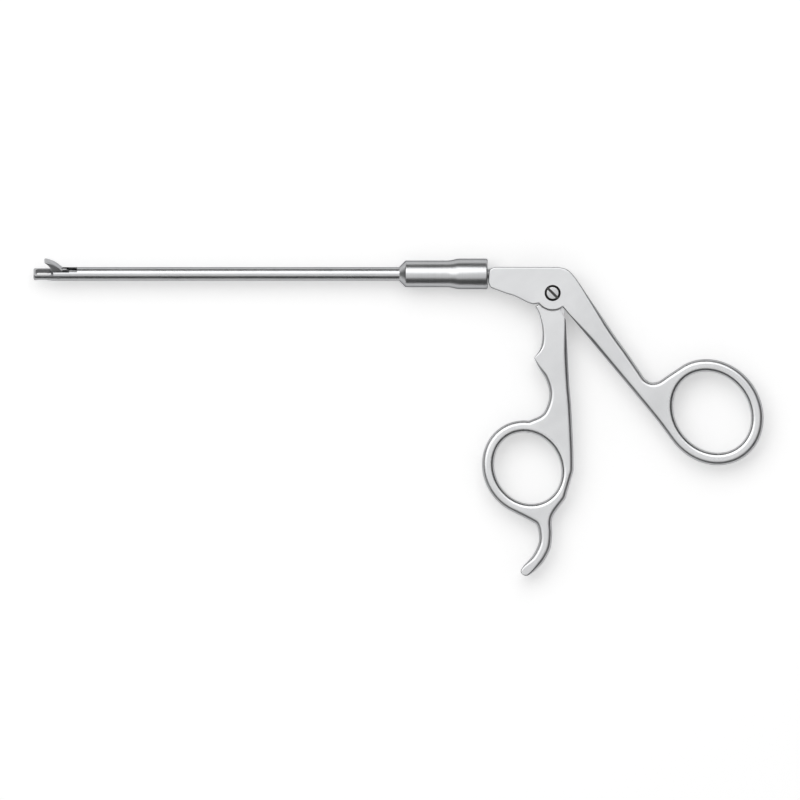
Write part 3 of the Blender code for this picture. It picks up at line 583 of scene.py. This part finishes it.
lever_half, lever_fold = taper(finger_ring, grip_start, lever_thickness, grip_thickness)
lever_loops = [lever_outline(), ring_hole(finger_ring)]
finger_lever = forge("forged_finger_lever", lever_loops, lever_half, lever_edge, lever_fold)
shoulder_cut = bar("shoulder", boss_radius + swing_gap, -lever_thickness, lever_thickness, steps=128)
carve(finger_lever, shoulder_cut, crotch_block())
inset_side = 0.0009
tongue_right = lever_top[0][0] - inset_side / 2
tongue_outline = [
    (lever_left[0][0] + inset_side, -lever_boss_radius / 2),
    lever_left[1],
    (lever_left[2][0] + inset_side, lever_left[2][1]),
    (tongue_right, lever_left[2][1]),
    (tongue_right, -lever_boss_radius / 2),
]
tongue_part = plate("tongue", tongue_outline, -tongue / 2, tongue / 2)
boss_part = bar("boss", lever_boss_radius, -tongue / 2, tongue / 2)
head_part = bar("head", lever_head_radius, -tongue / 2, tongue / 2, *drive_pin)
arm_low, arm_high = (-lever_head_radius, 0, -tongue / 2), (lever_head_radius, drive_pin.length, tongue / 2)
arm_part = block("arm", arm_low, arm_high)
arm_part.rotation_euler.z = -lever_travel / 2
carve(finger_lever, boss_part, tongue_part, arm_part, head_part, operation="UNION")
yoke_eye_radius, yoke_tongue = 0.0015, 0.0011
fork_low = shaft_y - yoke_eye_radius - run_gap
fork_half = yoke_tongue / 2 + pin_gap
fork_reach = 0.006
fork_cut = block("fork", (-fork_reach, fork_low, -fork_half), (fork_reach, shaft_y * 2, fork_half))
lever_bore = bar("lever_bore", screw_radius + pin_gap, -lever_thickness, lever_thickness)
pin_bore = bar("pin_bore", drive_pin_radius + seat_gap / 2, -lever_thickness, lever_thickness, *drive_pin)
carve(finger_lever, lever_bore, pin_bore, fork_cut)
hand_over(finger_lever, on_handles, "moving_lever", ["finger_lever"])

# %% [markdown]
# ## The pivot screw
# The screw that joins the handles has a low head with a rounded edge and a driver's slot. Its head
# stands a quarter of a millimetre out of the cheek, in a seat with a fine dark gap round it. It is
# turned along X like the other turned pieces and then stood up along Z.

# %% Pivot screw
screw_top = cheek + screw_proud
tip_inset = 0.0003
screw_tip = tip_inset - cheek
screw_under = screw_top - screw_head_height
edge_break = 0.0002
head_edge = 0.0008
screw_slot_depth, screw_slot_width = 0.0006, 0.0009
screw_profile = [
    (screw_tip, screw_radius - edge_break),
    (screw_tip + edge_break, screw_radius),
    (screw_under, screw_radius),
    (screw_under, screw_head_radius),
    *rounded(screw_top - head_edge, screw_head_radius - head_edge, head_edge, 90, 0, 8),
]
pivot_screw = turn_on_lathe("turned_pivot_screw", screw_profile)
slot_low = (screw_top - screw_slot_depth, -screw_head_radius * 2, -screw_slot_width / 2)
slot_high = (screw_top * 2, screw_head_radius * 2, screw_slot_width / 2)
driver_slot = block("driver_slot", slot_low, slot_high)
driver_slot.rotation_euler.x = radians(45)
carve(pivot_screw, driver_slot)
upright = on_handles @ Matrix.Rotation(-pi / 2, 4, "Y")
hand_over(pivot_screw, upright, "fixed_handle", ["pivot_screw"])

# %% [markdown]
# ## The hub
# The hub is a turned sleeve that holds the shaft on the handle. It has a chamfer at the front, a
# soft step up to its thicker rear half, and a rounded rear rim. The instrument lies on that rear
# half, so its radius is the height of the pivot above the ground. The step could be a straight
# cone. It is half a cosine wave, because a turner blends two diameters without a corner.

# %% Hub sleeve
tube_radius = 0.00235
hub_front_x = -0.0536
hub_front_radius = 0.00465
hub_rear_radius = pivot.z
step_start, step_end = -0.0369, -0.0324
hub_corner = 0.0006
hub_bore_radius = 0.0038
hub_shoulder_x = -0.040
hub_nose = tube_radius + 2 * seat_gap
chamfer_end = hub_front_x + hub_front_radius - hub_nose
hub_front = [
    (hub_front_x, hub_nose),
    (chamfer_end - edge_break, hub_front_radius - edge_break),
    (chamfer_end + edge_break / 2, hub_front_radius),
]
hub_step = []
step_points = 16
for i in range(step_points + 1):
    share = i / step_points
    rise = (1 - cos(pi * share)) / 2
    radius = hub_front_radius + (hub_rear_radius - hub_front_radius) * rise
    hub_step.append((step_start + (step_end - step_start) * share, radius))
hub_rear = rounded(hub_rear_x - hub_corner, hub_rear_radius - hub_corner, hub_corner, 90, 0)
hub = turn_on_lathe("turned_hub", [*hub_front, *hub_step, *hub_rear], steps=128)
tube_bore = tube_radius + seat_gap
drill_start_x, drill_end_x = hub_front_x * 1.1, hub_shoulder_x + drill_overrun * 2
hub_drill = turn_on_lathe("hub_drill", [(drill_start_x, tube_bore), (drill_end_x, tube_bore)])
hub_counterbore = turn_on_lathe("hub_counterbore", [(hub_shoulder_x, hub_bore_radius), (0, hub_bore_radius)])
carve(hub, hub_drill, hub_counterbore)
hand_over(hub, on_shaft, "fixed_handle", ["hub_sleeve"], sharp=25)

# %% [markdown]
# ## The shaft and its basket
# The long tube ends in the lower jaw, an open basket that catches what the upper jaw cuts. The
# real pieces are brazed and polished over, so no joint shows, and one piece here stands for both.
# It is turned whole and then milled: the rim is lowered, the window flares downwards, a notch lets
# the jaw swing, and the front is ground a tenth of a millimetre thinner up to a slanted line.

# %% Shaft: turning and boring
tip_reach = 0.0088
tip_x = hinge_x - tip_reach
tube_end_x = -0.033
bore_radius = 0.0017
nose_radius = 0.0009
nose_flat = 0.0004
cut_gap = 0.00015
window_back_x = hinge_x - 0.0027
rim_back_x = hinge_x - 0.0019
notch_back_x = hinge_x + 0.0064
rim_height = 0.0009
nose = rounded(tip_x + nose_radius, tube_radius - nose_radius, nose_radius, 180, 90, 10)
shaft = turn_on_lathe("shaft_and_basket", [(tip_x, nose_flat), *nose, (tube_end_x, tube_radius)])
bore_line = [(window_back_x - cut_gap, bore_radius), (tube_end_x / 2, bore_radius)]
shaft_bore = turn_on_lathe("shaft_bore", bore_line)
carve(shaft, shaft_bore)
print("shaft bored", round((tube_end_x - window_back_x) * 1000, 1), "mm deep")

# %% Basket: milling
jaw_width = 0.0027
window_half = jaw_width / 2 + cut_gap
basket_wall = 0.0007
window_corner = 0.00095
window_flare = tan(radians(11.5)) / window_half
relief_depth = 0.0001
relief_edge = [(0.0072, 0.0024), (0.0065, 0.0013), (0.0060, 0.0005), (0.0051, -0.0008), (0.0042, -0.0024)]
hinge_pin_radius = 0.0004
lug_radius = 0.0012
jaw_pocket_x = hinge_x + lug_radius + 0.0009
beyond = tube_radius * 2


def square_nose(front, half, corner, back):
    """A plan with straight sides and a flat front whose two corners are rounded."""
    upper = arc(front + corner, half - corner, corner, pi / 2, pi, 10)
    lower = arc(front + corner, corner - half, corner, pi, 3 * pi / 2, 10)
    return [(back, -half), (back, half), *upper, *lower]


window_low, window_high = -tube_radius - cut_gap, rim_height + cut_gap
wide_low, wide_high = (1 + (rim_height - height) * window_flare for height in (window_low, window_high))
window_plan = square_nose(tip_x + basket_wall, window_half, window_corner, window_back_x)
window_plan = [(x, y * wide_low) for x, y in window_plan]
window = plate("window", window_plan, window_low, window_high, widen=wide_high / wide_low)
window.rotation_euler.x = -pi / 2
rim = block("rim", (tip_x - beyond, rim_height, -beyond), (rim_back_x, beyond, beyond))
notch = block("notch", (window_back_x, 0, -window_half), (notch_back_x, beyond, window_half))
pocket_low = (window_back_x - cut_gap, -jaw_width / 2, -window_half)
pocket = block("pocket", pocket_low, (jaw_pocket_x, beyond, window_half))
hinge_bore = bar("hinge_bore", hinge_pin_radius + seat_gap / 2, -beyond, beyond, x=hinge_x)
ground_step = 0.0003
ground_edge = smooth([(tip_x + x, y) for x, y in relief_edge], ground_step)
ground_plan = [(tip_x - beyond, -beyond), (ground_edge[-1][0], -beyond), *ground_edge[::-1]]
ground_plan += [(ground_edge[0][0], beyond), (tip_x - beyond, beyond)]
relief = plate("relief", ground_plan, -beyond, beyond)
core_radius = tube_radius - relief_depth
core = turn_on_lathe("core", [(tip_x - beyond * 2, core_radius), (hinge_x, core_radius)])
carve(relief, core)
carve(shaft, rim, window, notch, pocket, hinge_bore, relief)
hand_over(shaft, on_shaft, "fixed_handle", ["shaft_tube", "basket_tip"])

# %% [markdown]
# ## The upper jaw
# The jaw is a small hooked blade that drops into the basket like a punch into its die. It is
# modelled closed, where its outline can be measured against the basket, and turned open at the
# end. Its side outline is drawn as a plate, the long edges of its back are bevelled, and its plan
# with the two rounded front corners is cut out of it by an intersection.

# %% Upper jaw
jaw_step = 0.0002
front_gap = 0.00025
jaw_corner = 0.00055
eye_half, eye_sweep = 0.00035, 0.00275
jaw_front = tip_reach - basket_wall - front_gap
jaw_back_line = [
    (-0.0071, 0.00070), (-0.0065, 0.00120), (-0.0058, 0.00156), (-0.0049, 0.00190),
    (-0.0039, 0.00214), (-0.0029, 0.00228), (-0.0018, 0.00235), (-0.0006, 0.00232), (0.0005, 0.00130),
]
jaw_under_line = [
    (-0.0012, -0.00080), (-0.0026, -0.00055), (-0.0033, -0.00020),
    (-0.0044, 0.00008), (-0.0057, 0.00028), (-0.0071, 0.00022),
]
back_bevel = 0.0003
crank = 0.00135
link_pin_radius = 0.0003
jaw_back = smooth([(-jaw_front, 0.00015), *jaw_back_line], jaw_step)
jaw_root = arc(0, 0, lug_radius, radians(-150), radians(60), 40)
jaw_under = smooth([*jaw_under_line, (-jaw_front, 0.00005)], jaw_step)
jaw_half = jaw_width / 2
upper_jaw = plate("hooked_jaw", outline(jaw_under[::-1], jaw_root, jaw_back[::-1]), -jaw_half, jaw_half)
mesh = upper_jaw.data
long_edges = []
for number, line in enumerate(mesh.edges):
    ends = [mesh.vertices[i].co for i in line.vertices]
    on_back = all(any(hypot(e.x - x, e.y - y) < 2e-6 for x, y in jaw_back) for e in ends)
    if on_back and abs(ends[0].z - ends[1].z) < 1e-6 and jaw_back_line[0][0] < min(e.x for e in ends) < 0:
        long_edges.append(number)
pick(upper_jaw, long_edges)
bevel = {"offset": back_bevel, "segments": 5, "profile": 0.5, "affect": "EDGES"}
edit(upper_jaw, lambda: bpy.ops.mesh.bevel(**bevel), everything=False)
jaw_corners = square_nose(-jaw_front, jaw_half, jaw_corner, jaw_front)
jaw_plan = plate("jaw_plan", jaw_corners, -jaw_front, jaw_front)
jaw_plan.rotation_euler.x = -pi / 2
carve(upper_jaw, jaw_plan, operation="INTERSECT")
slot_half = eye_half + pin_gap
eye_slot = bar("eye_slot", eye_sweep, -slot_half, slot_half, steps=96)
closed = pi / 2 + jaw_travel / 2
hinge_hole = bar("hinge_hole", hinge_pin_radius + pin_gap, -jaw_width, jaw_width)
link_place = (crank * cos(closed), crank * sin(closed))
link_hole = bar("link_hole", link_pin_radius + seat_gap / 2, -jaw_width, jaw_width, *link_place)
carve(upper_jaw, eye_slot, hinge_hole, link_hole)
hand_over(upper_jaw, on_jaw, "moving_jaw", ["upper_jaw"])

# %% [markdown]
# ## Steel in nodes
# A material is a small graph of nodes, and its maths is easier to read as a formula than as wires.
# The class below wraps one output socket, and its operators add the Math nodes, so a line such as
# `0.3 + 0.1 * grain` builds them. Every other node comes from one method that sets the node's own
# settings first and then its sockets.

# %% Sockets that can be added and multiplied
class Wire:
    """One output socket of a finish, with arithmetic that adds Math nodes."""

    def __init__(self, finish, socket):
        self.finish = finish
        self.socket = socket

    def maths(self, operation, first, second, clamp=False):
        settings = {"operation": operation, "use_clamp": clamp}
        return self.finish.node("ShaderNodeMath", settings, {0: first, 1: second})

    def __add__(self, other):
        return self.maths("ADD", self, other)

    def __radd__(self, other):
        return self.maths("ADD", other, self)

    def __sub__(self, other):
        return self.maths("SUBTRACT", self, other)

    def __rsub__(self, other):
        return self.maths("SUBTRACT", other, self)

    def __mul__(self, other):
        return self.maths("MULTIPLY", self, other)

    def __rmul__(self, other):
        return self.maths("MULTIPLY", other, self)

    def __truediv__(self, other):
        return self.maths("DIVIDE", self, other)

    def limited(self):
        """The same value, kept between 0 and 1."""
        return self.maths("ADD", self, 0.0, clamp=True)


class Finish:
    """A material or a world, with one method that adds any node."""

    def __init__(self, name, made_in=bpy.data.materials, shader="Principled BSDF"):
        self.data = made_in.new(name)
        self.data.use_nodes = True
        self.tree = self.data.node_tree
        self.shader = self.tree.nodes[shader]

    def feed(self, socket, value):
        """Links a wire to a socket, or sets a constant on it."""
        if isinstance(value, Wire):
            self.tree.links.new(value.socket, socket)
        else:
            socket.default_value = value

    def node(self, kind, settings=None, sockets=None, output=0):
        made = self.tree.nodes.new(kind)
        for name, value in (settings or {}).items():
            setattr(made, name, value)
        for name, value in (sockets or {}).items():
            self.feed(made.inputs[name], value)
        return Wire(self, made.outputs[output])

    def surface(self, **inputs):
        for name, value in inputs.items():
            self.feed(self.shader.inputs[name.replace("_", " ").title()], value)
        return self.data


print("node helpers ready")

# %% [markdown]
# ## Patterns that steel shows
# Satin forgings are blasted with fine beads, which leaves an even grain. Turned steel keeps rings
# from the tool, and a polished tube keeps faint scratches along its length. Skin smooths steel
# where it is held, so the inner sides of the rings are brighter. Each helper reads the Object
# coordinates, which stay with the piece from whatever side it is seen.

# %% Grain, clouds, turning rings, polish and handling marks
def stretched(finish, scale, location=(0, 0, 0), turn=0.0):
    """Object coordinates, moved to a place, turned round Z and then stretched."""
    place = finish.node("ShaderNodeTexCoord", output="Object")
    moved = {"Vector": place, "Location": location}
    centred = finish.node("ShaderNodeMapping", {}, moved)
    turned = finish.node("ShaderNodeMapping", {}, {"Vector": centred, "Rotation": (0, 0, turn)})
    return finish.node("ShaderNodeMapping", {}, {"Vector": turned, "Scale": scale})


def noise(finish, scale, detail=3.0, roughness=0.55):
    sockets = {"Vector": stretched(finish, scale), "Scale": 1.0, "Detail": detail, "Roughness": roughness}
    return finish.node("ShaderNodeTexNoise", {}, sockets)


def handled(finish, ring, reach):
    """1 at the inner side of a ring, falling to 0 further out, for a ring on the handles."""
    centre = (-pivot.x - ring["centre"][0], -pivot.y - ring["centre"][1], 0)
    scale = (1 / ring["long"], 1 / ring["short"], 0)
    vector = stretched(finish, scale, centre, -ring["turn"])
    distance = finish.node("ShaderNodeVectorMath", {"operation": "LENGTH"}, {0: vector}, output="Value")
    return ((1 + reach - distance) / reach).limited()


def around_pivot(finish, scale):
    """Rings round the pivot's axis, for the turned face of the screw."""
    vector = stretched(finish, (scale, scale, 0), (-pivot.x, -pivot.y, 0))
    distance = finish.node("ShaderNodeVectorMath", {"operation": "LENGTH"}, {0: vector}, output="Value")
    sockets = {"W": distance, "Scale": 1.0, "Detail": 2.0}
    return finish.node("ShaderNodeTexNoise", {"noise_dimensions": "1D"}, sockets)


def between(finish, share, low, high):
    """A colour that goes from low to high."""
    sockets = {0: share, 6: (*low, 1), 7: (*high, 1)}
    return finish.node("ShaderNodeMix", {"data_type": "RGBA"}, sockets, output=2)


def bump(finish, height, distance, strength=0.5):
    return finish.node("ShaderNodeBump", {}, {"Height": height, "Distance": distance, "Strength": strength})


print("patterns ready")

# %% [markdown]
# ## Satin forgings
# The handles have the dull, even shine of blasted stainless steel. A coarse cloud makes one area
# a little duller than the next, a fine grain breaks the highlights, and the inner side of each
# ring is smoother and brighter where a finger turns in it. A picture could be wrapped round them,
# but noise in space has no seams. Metallic is 1, because bare steel has no other layer.

# %% Satin steel
satin_low, satin_high = (0.48, 0.485, 0.495), (0.68, 0.685, 0.69)
# painted shade: a specular tint far darker than steel's own, so every steel edge seen at a glancing angle
# draws a dark outline
painted_edge_shade = (0.10, 0.10, 0.11, 1)


def satin_forging(name, ring):
    finish = Finish(name)
    cloud = noise(finish, (70, 70, 70), detail=4.0)
    grain = noise(finish, (5200, 5200, 5200), detail=2.0)
    held = handled(finish, ring, 0.28)
    along = stretched(finish, (26, 130, 60), turn=radians(-38))
    brushed = finish.node("ShaderNodeTexNoise", {}, {"Vector": along, "Scale": 1.0})
    share = (0.45 * cloud + 0.45 * brushed + 0.2 * grain + 0.3 * held - 0.05).limited()
    rough = 0.33 + 0.10 * (cloud - 0.5) + 0.10 * (grain - 0.5) - 0.09 * held
    return finish.surface(
        metallic=1.0,
        base_color=between(finish, share, satin_low, satin_high),
        roughness=rough,
        specular_tint=painted_edge_shade,
        normal=bump(finish, grain, 0.000012, 0.6),
    )


satin_thumb = satin_forging("satin_steel_thumb", thumb_ring)
satin_finger = satin_forging("satin_steel_finger", finger_ring)
print("satin:", satin_thumb.name, satin_finger.name)

# %% [markdown]
# ## Turned and polished steel
# The hub keeps fine rings from the lathe, and the tube is polished along its length. Both are the
# same noise: squeezed along the axis it becomes rings, and drawn out along the axis it becomes
# scratches. The screw's rings run round the pivot.

# %% Bright steel
bright_low, bright_high = (0.42, 0.425, 0.435), (0.62, 0.625, 0.63)


def bright_steel(name, marks, roughness, depth):
    finish = Finish(name)
    lines = marks(finish)
    cloud = noise(finish, (90, 90, 90))
    share = (0.5 * lines + 0.4 * cloud).limited()
    return finish.surface(
        metallic=1.0,
        base_color=between(finish, share, bright_low, bright_high),
        roughness=roughness + 0.10 * (lines - 0.5) + 0.06 * (cloud - 0.5),
        specular_tint=painted_edge_shade,
        normal=bump(finish, lines, depth),
    )


turned_steel = bright_steel("bright_steel_turned", lambda f: noise(f, (4200, 12, 12)), 0.30, 0.0000012)
polished_steel = bright_steel("bright_steel_polished", lambda f: noise(f, (45, 2600, 2600)), 0.28, 0.000002)
screw_steel = bright_steel("bright_steel_screw", lambda f: around_pivot(f, 5200), 0.26, 0.000001)
print("bright:", turned_steel.name, polished_steel.name, screw_steel.name)

# %% [markdown]
# ## Hardened steel and bronze
# The cutting jaw and its pins are hardened and ground, which leaves them duller, with short
# grinding lines. The bushes that guide the rod are bronze, with a warmer and a duller colour in
# rings from the lathe. They are hardly seen, but they are finished all the same.

# %% Hardened steel and bronze
hard_low, hard_high = (0.44, 0.445, 0.46), (0.64, 0.645, 0.65)
bronze_low, bronze_high = (0.50, 0.34, 0.17), (0.72, 0.52, 0.29)
ground = Finish("hardened_steel_ground")
lines = noise(ground, (2600, 500, 2600))
cloud = noise(ground, (420, 420, 420))
hard_steel = ground.surface(
    metallic=1.0,
    base_color=between(ground, (0.5 * lines + 0.5 * cloud).limited(), hard_low, hard_high),
    roughness=0.36 + 0.12 * (lines - 0.5) + 0.08 * (cloud - 0.5),
    specular_tint=painted_edge_shade,
    normal=bump(ground, lines, 0.000006),
)
bronze = Finish("bearing_bronze_turned")
rings = noise(bronze, (3600, 20, 20), detail=2.0)
cloud = noise(bronze, (300, 300, 300))
guide_bronze = bronze.surface(
    metallic=1.0,
    base_color=between(bronze, (0.4 * rings + 0.6 * cloud).limited(), bronze_low, bronze_high),
    roughness=0.34 + 0.14 * (cloud - 0.5),
    normal=bump(bronze, rings, 0.000005),
)
print("hardened and bronze:", hard_steel.name, guide_bronze.name)

# %% [markdown]
# ## Painted shade in recesses
# The driver's slot, the screw's seat and the narrow gap above the lever get a near-black finish,
# which is painted shade: it stands in for the shade that falls into them. The walls of the
# basket's window get a dark grey finish, painted shade that makes the opening read as shaded.
# These faces could be pieces of their own. They are picked by place and get a second finish
# instead, so that each piece stays whole.

# %% Painted shade finish and the faces that get it
# painted shade: a dark, rough steel finish for faces where shade falls
def painted_shade(name, low, high):
    finish = Finish(name)
    cloud = noise(finish, (900, 900, 900))
    return finish.surface(
        metallic=1.0,
        base_color=between(finish, cloud, low, high),
        roughness=0.52 + 0.2 * (cloud - 0.5),
    )


def paint_shade(piece, finish, wanted):
    """Gives a second finish, painted shade, to the faces whose middle and normal, seen from the pivot, are
    wanted.
    """
    piece.data.materials.append(finish)
    number = len(piece.data.materials) - 1
    found = 0
    for face in piece.data.polygons:
        if wanted(face.center - pivot, face.normal):
            face.material_index = number
            found += 1
    print(piece.name, "recess faces:", found)


# painted shade: near-black for the screw's slot and head edge, the seat and the lever's gap
painted_shade_dark = painted_shade("painted_shade_dark", (0.035, 0.034, 0.033), (0.11, 0.108, 0.105))

# %% [markdown]
# ## Every piece gets its finish
# New pieces have no material slots yet, and the CAD's own pieces have one that is overwritten.
# The table names the finish of every CAD solid that stays.

# %% Dressing the pieces
def dress(piece, finish):
    if piece.data.materials:
        for number in range(len(piece.data.materials)):
            piece.material_slots[number].material = finish
    else:
        piece.data.materials.append(finish)


dress(thumb_handle, satin_thumb)
dress(finger_lever, satin_finger)
dress(pivot_screw, screw_steel)
dress(hub, turned_steel)
dress(shaft, polished_steel)
dress(upper_jaw, hard_steel)
node_finishes = {
    "lever_drive_pin": screw_steel,
    "stem_nipple": turned_steel,
    "tube_ferrule": turned_steel,
    "rod_guide_front": guide_bronze,
    "rod_guide_middle": guide_bronze,
    "rod_guide_rear": guide_bronze,
    "drive_rod": polished_steel,
    "rod_yoke": turned_steel,
    "rod_lock_nut": turned_steel,
    "rod_front_eye": hard_steel,
    "jaw_hinge_pin": hard_steel,
    "jaw_link_pin": hard_steel,
}
for node, finish in node_finishes.items():
    dress(frame["nodes"][node], finish)
unpainted_top_band, hair, slack = 0.00002, 0.00001, 0.00003
level, facing_up = 0.1, 0.9
# painted shade: every face of the screw below its flat top, slot and rounded head edge, and the seat round it
# in the handle get the near-black finish
paint_shade(pivot_screw, painted_shade_dark, lambda c, n: c.z < screw_top - unpainted_top_band)
paint_shade(thumb_handle, painted_shade_dark, lambda c, n: c.xy.length < seat_rim and c.z < cheek - hair)
# painted shade: the walls of the basket's window get a dark grey finish, so the opening reads as shaded
basket_painted_shade = painted_shade("basket_inside_painted_shade", (0.12, 0.12, 0.125), (0.26, 0.26, 0.265))
wall_reach = tube_radius - relief_depth * 3
rim_up = on_shaft.to_3x3() @ Vector((0, 1, 0))


def inside_basket(centre, normal):
    """Walls of the window, which don't lie on the tube's outside or on the rim."""
    across = hypot(centre.y - shaft_y, centre.z)
    return centre.x < rim_back_x and across < wall_reach and normal.dot(rim_up) < facing_up


paint_shade(shaft, basket_painted_shade, inside_basket)
# painted shade: the lever's faces along the gap under the cheeks get the near-black finish
shoulder = boss_radius + swing_gap
paint_shade(finger_lever, painted_shade_dark, lambda c, n: abs(n.z) < level and abs(c.xy.length - shoulder) < slack)
print("dressed", 6 + len(node_finishes), "pieces")

# %% [markdown]
# ## The table it lies on
# The instrument lies on a plain white sheet under soft light. The sheet is a wide plane with a
# matt white surface. A little light of its own, for what the camera and the reflections see,
# brings the open sheet up to white and leaves the soft shadow under the steel.

# %% Floor
def in_view(finish):
    """1 for what the camera, a mirror or glass sees, and 0 for light on matt surfaces."""
    camera, mirror, glass = (
        finish.node("ShaderNodeLightPath", output=ray)
        for ray in ("Is Camera Ray", "Is Glossy Ray", "Is Transmission Ray")
    )
    return (camera + mirror + glass).limited()


sheet_size, sheet_drop = 6, 0.0001
sheet_white, sheet_glow = (0.86, 0.86, 0.86, 1), (0.27, 0.27, 0.27)
start_clean()
bpy.ops.mesh.primitive_grid_add(
    x_subdivisions=4, y_subdivisions=4, size=sheet_size, location=(0, 0, -sheet_drop)
)
floor = settle(bpy.context.active_object)
floor.name = "white_sheet"
sheet = Finish("white_sheet")
sheet.surface(
    base_color=sheet_white,
    roughness=0.9,
    emission_color=between(sheet, in_view(sheet), (0, 0, 0), sheet_glow),
    emission_strength=1.0,
)
dress(floor, sheet.data)
print("floor", [round(v, 2) for v in floor.dimensions], "m")

# %% [markdown]
# ## A soft room
# The room is evenly white. What the camera and the mirroring steel see of it is full white, and
# the light that falls on matt surfaces is less, so that the key lamp still has something to add
# and the sheet keeps a shadow. The Light Path node tells the two apart.

# %% World
ambient = 0.58
room = Finish("soft_room", bpy.data.worlds, "Background")
room.surface(color=(1, 1, 1, 1), strength=ambient + (1 - ambient) * in_view(room))
bpy.context.scene.world = room.data
print("room:", ambient, "on matt surfaces, 1 in the steel")

# %% [markdown]
# ## Soft light with dark cards
# Bright metal has no tone of its own: it shows what stands round it, and under light from all
# sides its edges would vanish on a white sheet. Photographers put dark cards round the subject,
# and the rounded edges, which mirror the low directions, then draw a dark line round the shape.
# Here a ring of dark card stands round the instrument. Its top edge leans, tallest on the shaded
# side and low under the key lamp, so the lines are widest where a draughtsman would press
# hardest. The camera doesn't see it and it throws no shadow, but the steel mirrors it.

# %% Key lamp and cards
key_place = Vector((-0.35, 0.85, 1.45))
key_width, key_depth, key_power = 2.4, 1.5, 15.0
start_clean()
bpy.ops.object.light_add(type="AREA", location=key_place)
key_lamp = bpy.context.active_object
key_lamp.name = "key_lamp"
key_lamp.rotation_euler = (-key_place).to_track_quat("-Z", "Y").to_euler()
key_lamp.data.shape = "RECTANGLE"
key_lamp.data.size = key_width
key_lamp.data.size_y = key_depth
key_lamp.data.energy = key_power
start_clean()
card_radius, card_middle, card_lean = 1.3, 1.35, 0.50
card_grey = (0.09, 0.09, 0.09, 1)
bpy.ops.mesh.primitive_cylinder_add(vertices=64, radius=card_radius, depth=1, end_fill_type="NOTHING")
card = settle(bpy.context.active_object)
card.name = "dark_card"
towards_shade = Vector((1, -1)).normalized()
for vertex in card.data.vertices:
    lean = towards_shade.dot(vertex.co.xy) / card_radius
    vertex.co.z = card_middle + card_lean * lean if vertex.co.z > 0 else 0
card_finish = Finish("dark_card")
dress(card, card_finish.surface(base_color=card_grey, roughness=0.9))
card.visible_camera = False
card.visible_diffuse = False
card.visible_shadow = False
print("lamp and card ready")

# %% [markdown]
# ## The camera
# The drawing looks straight down on the instrument, and parallel edges stay parallel in it, so the
# camera is orthographic and 280 mm wide.

# %% Camera
view_x, view_y, view_height = 0.0005, 0.0060, 0.8
view_width = 0.280
bpy.ops.object.camera_add(location=(view_x, view_y, view_height), rotation=(0, 0, 0))
camera = bpy.context.active_object
camera.name = "drawing_camera"
camera.data.type = "ORTHO"
camera.data.ortho_scale = view_width
camera.data.clip_end = 10
bpy.context.scene.camera = camera
bpy.context.scene.view_settings.view_transform = "Standard"
print("camera at", tuple(round(v, 4) for v in camera.location))

# %% [markdown]
# ## The end
# The last step leaves nothing selected.

# %% Clear the selection
start_clean()
